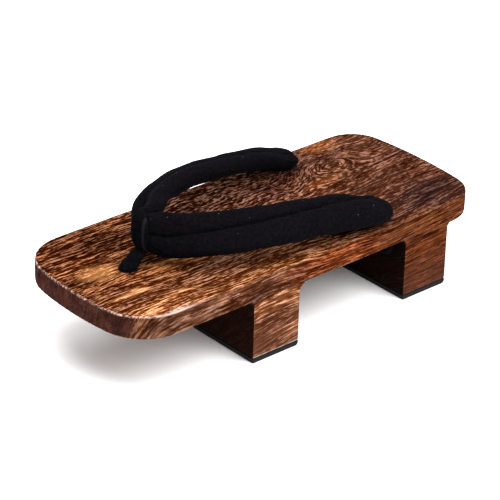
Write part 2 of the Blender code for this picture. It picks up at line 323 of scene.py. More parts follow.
    def group(self, made: bpy.types.NodeTree, **values: Value) -> dict[str, Socket]:
        """Places a node group.

        Args:
            made: the group.
            values: its inputs, by name with _ for a space.

        Returns:
            Its outputs by name.
        """
        node = self.add("Group", node_tree=made)
        for name, value in values.items():
            self.feed(node.inputs[name.replace("_", " ")], value)
        return {socket.name: socket for socket in node.outputs}


class Material(Tree):
    """A material under construction, with one Principled shader. Its spot is the point in millimetres."""

    def __init__(self, name: str) -> None:
        """Starts an empty material.

        Args:
            name: its name.
        """
        self.material = bpy.data.materials.new(name)
        self.material.use_nodes = True
        super().__init__(self.material.node_tree)
        self.shader = self.tree.nodes["Principled BSDF"]
        self.spot = self.scaled(self.add("TexCoord").outputs["Object"], PER_METRE)

    def set(self, **values: Value | Colour) -> None:
        """Sets or links the shader's inputs, by name with _ for a space."""
        for name, value in values.items():
            self.feed(self.shader.inputs[name.replace("_", " ")], value)

    def bump(self, height: Socket, depth: float) -> None:
        """Gives the surface a relief.

        Args:
            height: the relief, from 0 to 1.
            depth: how deep it is, in millimetres.
        """
        node = self.add("Bump")
        self.feed(node.inputs["Height"], height)
        self.feed(node.inputs["Distance"], depth * MM)
        self.feed(node.inputs["Strength"], 1.0)
        self.set(Normal=node.outputs[0])


class Group(Tree):
    """A shader node group under construction, with named inputs and outputs."""

    def __init__(self, name: str, inputs: dict[str, float], outputs: tuple[str, ...]) -> None:
        """Makes the group's sockets.

        Args:
            name: the group's name.
            inputs: its number inputs with their usual values; a Spot vector, in millimetres, comes first.
            outputs: its number outputs.
        """
        super().__init__(bpy.data.node_groups.new(name, "ShaderNodeTree"))
        face = self.tree.interface
        face.new_socket("Spot", in_out="INPUT", socket_type="NodeSocketVector")
        for label, usual in inputs.items():
            face.new_socket(label, in_out="INPUT", socket_type="NodeSocketFloat").default_value = usual
        for label in outputs:
            face.new_socket(label, in_out="OUTPUT", socket_type="NodeSocketFloat")
        start = self.tree.nodes.new("NodeGroupInput")
        self.given = {socket.name: socket for socket in start.outputs}
        self.end = self.tree.nodes.new("NodeGroupOutput")

    def spot_over(self, size: str) -> Socket:
        """The spot divided by an input.

        Args:
            size: the input's name.

        Returns:
            The quotient.
        """
        node = self.add("VectorMath", operation="SCALE")
        self.feed(node.inputs[0], self.given["Spot"])
        self.feed(node.inputs["Scale"], self.math("DIVIDE", 1.0, self.given[size]))
        return node.outputs[0]

    def give(self, **values: Socket) -> None:
        """Links the group's outputs, by name."""
        for name, value in values.items():
            self.feed(self.end.inputs[name], value)


@dataclass(frozen=True)
class SharedEffects:
    """The node groups that more than one finish uses."""

    lint: bpy.types.NodeTree
    dust: bpy.types.NodeTree
    nap: bpy.types.NodeTree

    @classmethod
    def build(cls) -> "SharedEffects":
        """Builds each group once."""
        return cls(lint=cls.lint_group(), dust=cls.dust_group(), nap=cls.nap_group())

    @staticmethod
    def lint_group() -> bpy.types.NodeTree:
        """Sparse pale specks.

        Returns:
            The group; its Mask is 1 on a speck.
        """
        group = Group("lint", {"Spacing": 5.0, "Size": 0.3, "Share": 0.3}, ("Mask",))
        cells = group.add("TexVoronoi", feature="F1")
        group.feed(cells.inputs["Vector"], group.spot_over("Spacing"))
        group.feed(cells.inputs["Scale"], 1.0)
        reach = group.times(cells.outputs["Distance"], group.given["Spacing"])
        speck = group.math("LESS_THAN", reach, group.given["Size"])
        lot = group.add("SeparateColor")
        group.feed(lot.inputs[0], cells.outputs["Color"])
        picked = group.math("LESS_THAN", lot.outputs[0], group.given["Share"])
        group.give(Mask=group.times(speck, picked))
        return group.tree

    @staticmethod
    def dust_group() -> bpy.types.NodeTree:
        """Patchy fine dust.

        Returns:
            The group; its Mask is how thickly the dust lies, for a given Amount.
        """
        group = Group("dust", {"Size": 6.0, "Amount": 0.5}, ("Mask",))
        coarse = group.noise(group.spot_over("Size"), detail=4, rough=0.65)
        low = group.minus(0.75, group.times(group.given["Amount"], 0.5))
        group.give(Mask=group.math("MULTIPLY", group.minus(coarse, low), 4.0, clamp=True))
        return group.tree

    @staticmethod
    def nap_group() -> bpy.types.NodeTree:
        """A cloth's pile.

        Returns:
            The group; Brushed is which way the pile lies, from 0 to 1, and Height is its fine relief.
        """
        group = Group("nap", {"Stroke": 9.0, "Grain": 0.35}, ("Brushed", "Height"))
        stroke = group.noise(group.spot_over("Stroke"), detail=3, rough=0.6)
        fine = group.noise(group.spot_over("Grain"), detail=2, rough=0.6)
        group.give(Brushed=group.step(stroke, 0.36, 0.64), Height=fine)
        return group.tree


@dataclass(frozen=True)
class Patch:
    """A place on the deck's top with a tone of its own; one is a painted shadow. Lengths are in millimetres.
    """

    x: float
    y: float
    half_width: float
    half_length: float
    gain: float  # how much brighter its grain is
    colour: Colour  # what is added to its grain


@dataclass(frozen=True)
class WoodTones:
    """How far the burning went from place to place: what the grain's colour is multiplied by."""

    dark_band: Colour = (0.58, 0.50, 0.52)
    light_band: Colour = (1.12, 1.02, 0.92)
    top_toe: Colour = (0.61, 0.52, 0.41)
    top_middle: Colour = (0.49, 0.51, 0.66)
    top_hollow: Colour = (0.62, 0.62, 0.62)  # between the ridges of the grain, ahead of the heel
    top_ridge: Colour = (1.20, 1.20, 1.20)
    top_heel: Colour = (0.88, 0.83, 0.82)
    top_near: Colour = (1.08, 1.10, 1.00)  # the left side of the top, where it was burnt least
    edge_toe: Colour = (0.69, 0.76, 1.03)
    edge_middle: Colour = (0.68, 0.44, 0.30)
    edge_heel: Colour = (0.64, 0.50, 0.42)
    front_tooth: Colour = (1.11, 1.18, 1.32)
    rear_tooth: Colour = (0.50, 0.335, 0.26)
    dark_mottle: Colour = (0.76, 0.72, 0.70)
    light_mottle: Colour = (1.20, 1.22, 1.22)


@dataclass(frozen=True)
class WoodPoint:
    """What the wood's nodes read at a point: its place, in millimetres, and how its face looks."""

    x: Socket
    y: Socket
    z: Socket
    depth: Socket  # below the deck's top
    across: Socket  # how far the face looks to a side, from 0 to 1
    upward: Socket  # how far it looks up or down
    on_top: Socket  # masks
    on_side: Socket
    on_end: Socket


@dataclass(frozen=True)
class BurntWood:
    """Plain-sawn light wood, burnt, brushed along its grain and varnished. Lengths are in millimetres.

    A pair is a place or a reach, across and along, unless its comment says otherwise.
    """

    deck_top: float
    deck_under: float
    tones: WoodTones = WoodTones()
    line_spacing: float = 0.88  # between the burnt lines of the grain
    line_length: float = 17
    dash_spacing: float = 0.8  # between the short marks in curly grain
    dash_length: float = 3.4
    dash_share: Pair = (0.42, 0.3)  # in straight grain, and what curly grain adds
    ridge: Pair = (0.405, 0.605)  # where the noise turns from hollow to ridge
    fan: float = 0.0009  # how much farther apart the lines lie for each millimetre of Y past fan_from
    fan_from: Pair = (30, -100)
    side_shift: float = 0.8  # how far the lines move over for each millimetre down
    side_bow: float = 0.005  # how strongly that grows on the way down
    side_climb: float = 0.006  # how much it grows for each millimetre of Y past climb_from
    climb_from: float = -26
    sway: float = 14  # how far the lines sway in broad waves
    sway_scale: Colour = (0.02, 0.012, 0.02)
    wobble: Pair = (1.6, 4.5)  # the same in short waves, in straight grain, and what curly grain adds
    wobble_scale: Colour = (0.10, 0.07, 0.10)
    figure: Pair = (-24, 74)  # the middle of the swirl behind the strap
    figure_reach: Pair = (10, 19)
    figure_rise: float = 20  # how far it pushes the lines aside
    figure_fade: float = 0.06  # how fast it fades for each millimetre down
    sharp_figure: Pair = (-24, 66)  # where the heel's grain stays sharp
    sharp_reach: Pair = (20, 26)
    curl: Pair = (-28, 46)  # the middle of the curly grain
    curl_reach: Pair = (25, 60)
    corner: Pair = (47, -90)  # the toe's left corner, where the rim's wear and painted highlight are strongest
    corner_reach: Pair = (7, 13)
    # glint: a painted highlight on the rim at the toe's left corner
    glint: Pair = (47.3, -91)
    glint_reach: Pair = (1.1, 9)
    toe_to_middle: Pair = (-70, -25)  # where a change along Y starts and ends, as in those that follow
    middle_to_heel: Pair = (10, 45)
    near_across: Pair = (8, 32)  # along X
    near_along: Pair = (45, -5)
    side_toe_to_middle: Pair = (-45, 10)
    side_middle_to_heel: Pair = (30, 60)
    front_to_rear_tooth: Pair = (-10, 30)
    relief: float = 0.3
    char: Colour = (0.034, 0.0068, 0.0014)
    dark: Colour = (0.062, 0.0145, 0.0036)
    brown: Colour = (0.105, 0.032, 0.011)
    tan: Colour = (0.215, 0.082, 0.032)
    # pale: the brushed ridges' light wood, with a painted highlight of the varnish on them
    pale: Colour = (0.46, 0.24, 0.14)
    dark_cloud: Colour = (0.035, 0.010, 0.004)  # where the grain is blurred
    light_cloud: Colour = (0.27, 0.110, 0.042)
    end_dark: Colour = (0.019, 0.0062, 0.0045)
    end_brown: Colour = (0.056, 0.0182, 0.0122)
    end_speck: Colour = (0.16, 0.11, 0.09)
    # foot: painted shade on the feet of the teeth, under the deck
    foot: Colour = (0.07, 0.026, 0.016)
    # the faces between and before the teeth, near black for their soot and for a painted shade under the
    # deck
    soot_and_shade: Colour = (0.0032, 0.0015, 0.0009)
    # the rim by the toe and behind it: its wear, and a painted highlight along the edge
    wear_and_highlight: Colour = (0.50, 0.35, 0.30)
    rubbed_rim_and_highlight: Colour = (0.24, 0.115, 0.055)
    # dust: the pale line on the teeth's lower rounding, dust and a painted highlight
    dust: Colour = (0.46, 0.34, 0.31)
    patches: tuple[Patch, ...] = (
        Patch(-5, -98, 9, 13, 1.45, (0.13, 0.063, 0.021)),
        Patch(21.5, -99, 2.6, 12, 1.7, (0.15, 0.075, 0.03)),
        Patch(10, -62, 6, 20, 1.35, (0.06, 0.022, 0.004)),
        # a darker band beside the strap's left arm: painted shadow of the arm
        Patch(41, -40, 4.5, 52, 0.66, (0.008, 0.001, 0.0)),
        Patch(-45, 84, 9, 16, 1.25, (0.05, 0.012, 0.0)),
        Patch(-10, 57, 6, 17, 1.12, (0.03, 0.007, 0.0)),
        Patch(33, 93, 17, 34, 0.46, (0.003, 0.002, 0.003)),
        Patch(-28, -72, 20, 24, 0.75, (0.0, 0.0, 0.0)),
    )

    def build(self, effects: SharedEffects) -> bpy.types.Material:
        """Makes the material.

        Args:
            effects: the shared node groups.

        Returns:
            The material.
        """
        made = Material("burnt_brushed_wood")
        at = self.point(made)
        curl = self.spread(made, at, self.curl, self.curl_reach)
        lane = self.lane(made, at, curl)
        streak = self.streaks(made, lane, made.minus(curl, made.times(at.on_side, 0.4)))
        colour = self.grain_colour(made, lane, streak)
        colour = self.blurred(made, at, lane, colour)
        tone = made.mix(at.on_side, self.top_tone(made, at, streak), self.side_tone(made, at))
        colour = self.patched(made, at, made.tint(colour, tone))
        colour = made.mix(at.on_end, colour, self.end_colour(made, lane, effects))
        # painted shade low on the block, with the soot of the teeth's end faces
        colour = self.shade_low(made, at, colour)
        # the upper rim made paler: its wear, and a painted highlight along the edge
        rim = self.rim_wear_and_highlight(made, at)
        colour = made.mix(rim, colour, made.mix(made.step(at.y, -92, -60), self.wear_and_highlight, self.rubbed_rim_and_highlight))
        # dust and a painted highlight along the feet of the teeth
        colour = made.mix(self.foot_dust_and_highlight(made, at, effects), colour, self.dust)
        made.set(Base_Color=colour, Roughness=made.step(streak, 0.3, 0.8, 0.72, 0.5))
        made.set(Coat_Weight=made.step(streak, 0.5, 0.95, 0.0, 0.09), Coat_Roughness=0.35)
        made.set(Specular_IOR_Level=0.0)
        grain = made.times(streak, made.minus(1.0, made.times(at.on_end, 0.7)))
        made.bump(made.plus(grain, made.times(rim, 0.2)), self.relief)
        return made.material

    def point(self, made: Material) -> WoodPoint:
        """Reads the point and its face.

        Args:
            made: the material.

        Returns:
            What the other nodes read.
        """
        x, y, z = made.parts(made.spot)
        normal = made.add("NewGeometry").outputs["Normal"]
        across, along, upward = (made.math("ABSOLUTE", part) for part in made.parts(normal))
        return WoodPoint(
            x,
            y,
            z,
            depth=made.minus(self.deck_top, z),
            across=across,
            upward=upward,
            on_top=made.step(upward, 0.75, 0.95),
            on_side=made.step(across, 0.6, 0.9),
            on_end=made.step(along, 0.5, 0.85),
        )

    @staticmethod
    def spread(made: Material, at: WoodPoint, middle: Pair, reach: Pair) -> Socket:
        """A bell over a place of the deck, with its reach across and along."""
        return made.bell((at.x, middle[0], reach[0]), (at.y, middle[1], reach[1]))

    def lane(self, made: Material, at: WoodPoint, curl: Socket) -> Socket:
        """Lays the grain's lines: on every face they are the contours of one distance.

        Args:
            made: the material.
            at: the point.
            curl: how curly the grain is.

        Returns:
            How far across the grain the point lies, in millimetres.
        """
        swirl = self.spread(made, at, self.figure, self.figure_reach)
        fade = made.math("EXPONENT", made.times(at.depth, -self.figure_fade))
        straight, curly = self.wobble
        shifts = (
            (made.times(made.minus(self.fan_from[0], at.x), made.minus(at.y, self.fan_from[1])), self.fan),
            (at.depth, self.side_shift),
            (made.times(at.depth, at.depth), self.side_bow),
            (made.times(at.depth, made.minus(at.y, self.climb_from)), self.side_climb),
            (made.minus(made.noise(made.spot, self.sway_scale, 1), 0.5), self.sway),
            (
                made.minus(made.noise(made.spot, self.wobble_scale), 0.5),
                made.math("MULTIPLY_ADD", curl, curly, straight),
            ),
            (made.times(swirl, fade), self.figure_rise),
        )
        return made.plus(at.x, *(made.times(shift, size) for shift, size in shifts))

    def streaks(self, made: Material, lane: Socket, curl: Socket) -> Socket:
        """The grain's relief, from its long lines and its short dashes.

        Args:
            made: the material.
            lane: the distance across the grain.
            curl: how curly the grain is, which brings the dashes out.

        Returns:
            0 in the burnt hollows to 1 on the brushed ridges.
        """
        layers = []
        for length, spacing, detail in (
            (self.line_length, self.line_spacing, 3),
            (self.dash_length, self.dash_spacing, 2),
        ):
            apart = made.math("DIVIDE", lane, spacing)
            layers.append(made.noise(made.spot, 1 / length, detail, 0.6, apart))
        lines, dashes = layers
        straight, curly = self.dash_share
        share = made.math("MULTIPLY_ADD", curl, curly, straight, clamp=True)
        both = made.math("MULTIPLY_ADD", made.minus(dashes, lines), share, lines)
        return made.step(both, *self.ridge)

    def grain_colour(self, made: Material, lane: Socket, streak: Socket) -> Socket:
        """The colour of the grain along its faces, in broad lighter and darker bands; the palest ridges
        carry a painted highlight.

        Args:
            made: the material.
            lane: the distance across the grain.
            streak: the grain's relief.

        Returns:
            The colour.
        """
        stops = ((0.08, self.char), (0.3, self.dark), (0.52, self.brown), (0.76, self.tan), (1.0, self.pale))
        bands = made.noise(made.spot, 0.018, lane=made.times(lane, 0.09))
        ends = ((0.0, self.tones.dark_band), (1.0, self.tones.light_band))
        return made.tint(made.ramp(streak, stops), made.ramp(made.step(bands, 0.34, 0.64), ends))

    def blurred(self, made: Material, at: WoodPoint, lane: Socket, colour: Socket) -> Socket:
        """Softens the grain a little at the heel, and more on the sides by the toe and the heel.

        Args:
            made: the material.
            at: the point.
            lane: the distance across the grain.
            colour: the grain's colour.

        Returns:
            The colour.
        """
        rear = made.step(at.y, *self.side_middle_to_heel)
        side_share = made.plus(made.step(at.y, -45, -75, 0.18, 0.5), made.times(rear, 0.25))
        top_share = made.step(at.y, 30, 75, 0.0, 0.18)
        share = made.math("MAXIMUM", top_share, made.times(at.on_side, side_share))
        broad = made.noise(made.spot, 0.06, 3, 0.6, made.math("DIVIDE", lane, 3.2))
        cloud = made.mix(made.step(broad, 0.4, 0.6), self.dark_cloud, self.light_cloud)
        return made.mix(share, colour, cloud)

    def top_tone(self, made: Material, at: WoodPoint, streak: Socket) -> Socket:
        """Leaves the near part of the top light, and burns the rest darker.

        Args:
            made: the material.
            at: the point.
            streak: the grain's relief.

        Returns:
            What the top's grain is multiplied by.
        """
        tones = self.tones
        contrast = made.mix(made.step(streak, 0.35, 0.9), tones.top_hollow, tones.top_ridge)
        sharp = made.times(self.spread(made, at, self.sharp_figure, self.sharp_reach), 0.7)
        calm = made.minus(made.step(at.y, *self.middle_to_heel), sharp, clamp=True)
        contrast = made.mix(calm, contrast, tones.top_heel)
        burnt = made.mix(made.step(at.y, *self.toe_to_middle), tones.top_toe, tones.top_middle)
        near = made.times(made.step(at.x, *self.near_across), made.step(at.y, *self.near_along))
        return made.mix(near, made.tint(burnt, contrast), tones.top_near)

    def side_tone(self, made: Material, at: WoodPoint) -> Socket:
        """Tells the deck's sides and the two teeth apart, and mottles them.

        Args:
            made: the material.
            at: the point.

        Returns:
            What the sides' grain is multiplied by.
        """
        tones = self.tones
        rear = made.step(at.y, *self.side_middle_to_heel)
        front = made.mix(made.step(at.y, *self.side_toe_to_middle), tones.edge_toe, tones.edge_middle)
        edge = made.mix(rear, front, tones.edge_heel)
        tooth = made.mix(rear, tones.front_tooth, tones.rear_tooth)
        side = made.mix(made.step(at.z, self.deck_under - 1, self.deck_under + 2), tooth, edge)
        mottle = made.step(made.noise(made.spot, 0.1, 3, 0.65), 0.38, 0.62)
        return made.tint(side, made.mix(mottle, tones.dark_mottle, tones.light_mottle))

    def patched(self, made: Material, at: WoodPoint, colour: Socket) -> Socket:
        """Lays the patches on the top, each with an uneven rim drawn out along the grain.

        Args:
            made: the material.
            at: the point.
            colour: the colour so far.

        Returns:
            The colour.
        """
        ragged = made.noise(made.spot, (0.5, 0.08, 0.5), 3, 0.65)
        for patch in self.patches:
            offs = made.squares((at.x, patch.x, patch.half_width), (at.y, patch.y, patch.half_length))
            rim = made.math("MULTIPLY_ADD", ragged, 1.6, made.minus(made.math("SQRT", offs), 0.8))
            mask = made.times(made.step(rim, 0.35, 1.15, 1.0, 0.0), at.on_top)
            gained = made.tint(colour, (patch.gain,) * 3)
            colour = made.mix(mask, colour, made.mix(1.0, gained, patch.colour, "ADD"))
        return colour

    def end_colour(self, made: Material, lane: Socket, effects: SharedEffects) -> Socket:
        """The dull dark colour of the sawn ends, with faint growth lines and pale specks.

        Args:
            made: the material.
            lane: the distance across the grain.
            effects: the shared node groups.

        Returns:
            The colour.
        """
        blotch = made.noise(made.spot, 0.16, 4, 0.65)
        rings = made.noise(made.spot, 0.03, lane=made.times(lane, 0.45))
        share = made.math("MULTIPLY_ADD", rings, 0.28, made.times(blotch, 0.72))
        dull = made.mix(made.step(share, 0.36, 0.64), self.end_dark, self.end_brown)
        specks = made.group(effects.lint, Spot=made.spot, Spacing=1.8, Size=0.26, Share=0.3)["Mask"]
        return made.mix(made.times(specks, 0.5), dull, self.end_speck)

    def shade_low(self, made: Material, at: WoodPoint, colour: Socket) -> Socket:
        """Paints shade on the feet of the teeth, and soot and shade on the faces between and before the
        teeth.

        Args:
            made: the material.
            at: the point.
            colour: the colour so far.

        Returns:
            The colour.
        """
        # painted shade on the feet of the teeth, under the deck
        foot = made.step(at.z, 2.0, self.deck_under - 4, 0.55, 0.0)
        colour = made.mix(foot, colour, self.foot)
        # how near black the end faces below the deck go: their soot and painted shade
        burnt = made.step(at.y, *self.front_to_rear_tooth, 0.84, 0.94)
        below = made.step(at.z, self.deck_under - 3, self.deck_under + 1.5, burnt, 0.0)
        return made.mix(made.times(below, at.on_end), colour, self.soot_and_shade)

    def rim_wear_and_highlight(self, made: Material, at: WoodPoint) -> Socket:
        """Wear and a painted highlight on the deck's upper rim, most by the toe, with chips and a painted
        corner glint.

        Args:
            made: the material.
            at: the point.

        Returns:
            The mask of the wear and of the painted highlight.
        """
        on_rim = made.step(at.z, self.deck_top - 1.3, self.deck_top - 0.4)
        rim = made.times(on_rim, made.step(at.upward, 0.995, 0.9))
        front = made.step(at.y, -98, -60, 1.0, 0.6)
        chips = made.noise(made.spot, 0.45, 4, 0.75)
        corner = self.spread(made, at, self.corner, self.corner_reach)
        share = made.math("MAXIMUM", made.step(chips, 0.44, 0.64, 0.04, 0.95), corner)
        # a painted highlight at the toe's left corner
        glint = made.times(
            self.spread(made, at, self.glint, self.glint_reach),
            made.step(at.upward, 0.8, 0.99),
            made.step(chips, 0.35, 0.6),
        )
        return made.math("MAXIMUM", glint, made.times(share, rim, front))

    @staticmethod
    def foot_dust_and_highlight(made: Material, at: WoodPoint, effects: SharedEffects) -> Socket:
        """Dust, and a painted highlight on the teeth's lower rounding, along their feet over the pads.

        Args:
            made: the material.
            at: the point.
            effects: the shared node groups.

        Returns:
            The mask of the dust and the painted highlight.
        """
        dust = made.group(effects.dust, Spot=made.spot, Size=5.0, Amount=0.9)["Mask"]
        line = made.times(made.step(at.z, 4.0, 3.2), made.step(at.y, 20, 0, 0.08, 0.9))
        return made.times(line, made.step(at.across, 0.5, 0.8, 0.05, 1.0), dust)


@dataclass(frozen=True)
class PadRubber:
    """Matt black sheet rubber, scuffed grey where it meets the ground."""

    black: Colour = (0.0055, 0.0052, 0.0065)
    scuffed: Colour = (0.020, 0.018, 0.018)
    grain: float = 0.4  # millimetres
    relief: float = 0.12

    def build(self, effects: SharedEffects) -> bpy.types.Material:
        """Makes the material.

        Args:
            effects: the shared node groups.

        Returns:
            The material.
        """
        made = Material("scuffed_rubber")
        _, _, z = made.parts(made.spot)
        dust = made.group(effects.dust, Spot=made.spot, Size=3.0, Amount=0.7)["Mask"]
        low = made.step(z, 1.6, 0.0, 0.15, 0.8)
        grain = made.noise(made.spot, 1 / self.grain, 3, 0.6)
        made.set(Base_Color=made.mix(made.times(dust, low), self.black, self.scuffed))
        made.set(Roughness=made.step(grain, 0.3, 0.7, 0.62, 0.8), Specular_IOR_Level=0.12)
        made.bump(grain, self.relief)
        return made.material


@dataclass(frozen=True)
class WornAndHighlitFold:
    """An upright fold of cloth, paler for its worn pile and a painted highlight. Lengths are in millimetres.
    """

    x: float
    lowest: float
    highest: float
    half_width: float = 0.65
    fade: float = 3
    front: Pair = (-71, -73)  # it shows only on the outer side
    # paler than the pile: worn pile, and a painted highlight along the fold
    colour: Colour = (0.0105, 0.0095, 0.0115)

    def mask(self, made: Material) -> Socket:
        """Where the fold is.

        Args:
            made: the cloth's material.

        Returns:
            The mask.
        """
        x, y, z = made.parts(made.spot)
        foot = made.step(z, self.lowest, self.lowest + self.fade)
        head = made.step(z, self.highest, self.highest - self.fade)
        return made.times(made.bell((x, self.x, self.half_width)), foot, head, made.step(y, *self.front))


@dataclass(frozen=True)
class PileCloth:
    """Black cotton cloth with a short pile that catches light at its edges. Lengths are in millimetres."""

    name: str
    deep: Colour
    brushed: Colour
    pile: Colour
    grain: float
    lint_share: float
    fold: WornAndHighlitFold | None = None
    stroke: float = 1.7  # the size of the places where the pile lies one way
    sheen: float = 0.02
    relief: float = 0.16
    lint: Colour = (0.07, 0.07, 0.08)

    def build(self, effects: SharedEffects) -> bpy.types.Material:
        """Makes the material.

        Args:
            effects: the shared node groups.

        Returns:
            The material.
        """
        made = Material(self.name)
        nap = made.group(effects.nap, Spot=made.spot, Stroke=self.stroke, Grain=self.grain)
        lint = made.group(effects.lint, Spot=made.spot, Spacing=4.2, Size=0.26, Share=self.lint_share)
        colour = made.mix(nap["Brushed"], self.deep, self.brushed)
        if self.fold:
            # the fold's worn pile and painted highlight
            colour = made.mix(self.fold.mask(made), colour, self.fold.colour)
        made.set(Base_Color=made.mix(lint["Mask"], colour, self.lint))
        made.set(Roughness=0.92, Specular_IOR_Level=0.0)
        made.set(Sheen_Weight=self.sheen, Sheen_Roughness=0.35, Sheen_Tint=self.pile)
        made.bump(nap["Height"], self.relief)
        return made.material


@dataclass(frozen=True)
class Row:
    """A row of the strap's table; see StrapRoute."""

    across: float
    along: float
    lift: float
    tilt: float
    width: float
    thick: float
    seam: float
    crease: float

    def values(self) -> tuple[float, ...]:
        """The row's numbers in order."""
        place = (self.across, self.along, self.lift, self.tilt)
        return (*place, self.width, self.thick, self.seam, self.crease)

    def mirrored(self) -> "Row":
        """The same row on the other side of the fold."""
        return Row(-self.across, *self.values()[1:])


@dataclass(frozen=True)
class Station:
    """Where a section of the strap stands: its middle, its frame and its sizes."""

    middle: Vector
    heading: Vector
    turn: float
    tilt: float
    width: float
    thick: float
    seam: float
    crease: float
    fullness: float

    def axes(self) -> tuple[Vector, Vector]:
        """The directions towards the section's upper edge and out of its face.

        Returns:
            The two directions.
        """
        turn, lean = math.radians(self.turn), math.radians(self.tilt)
        outward = Vector((self.heading.y, -self.heading.x, 0))
        over = Vector((0, 0, math.cos(turn))) + self.heading * math.sin(turn)
        edge = over * math.cos(lean) - outward * math.sin(lean)
        face = outward * math.cos(lean) + over * math.sin(lean)
        return edge, face

    def full(self, share: float) -> float:
        """A cosine or sine, moved outwards for a section between an ellipse and a box."""
        return math.copysign(abs(share) ** (2 / self.fullness), share)

    def height(self, angle: float) -> float:
        """How far up the section an angle of it lies."""
        return self.full(math.cos(math.radians(angle))) * self.width / 2

    def off_seam(self, angle: float) -> float:
        """How far above or below the seam an angle of the section lies."""
        return abs(self.height(angle) - self.seam * self.width / 2)

    def point(self, angle: float, lift: float = 0.0, dip: float = 0.0) -> Vector:
        """A point on the section.

        Args:
            angle: in degrees: the upper edge is 0, the outer face 90, the lower edge 180.
            lift: how far it stands off the skin.
            dip: how far it is sunk into the face.

        Returns:
            The point.
        """
        edge, face = self.axes()
        c, s = math.cos(math.radians(angle)), math.sin(math.radians(angle))
        away = Vector((c / self.width, s / self.thick)).normalized() * lift
        out = self.full(s) * self.thick / 2 + away.y - dip
        return self.middle + edge * (self.height(angle) + away.x) + face * out


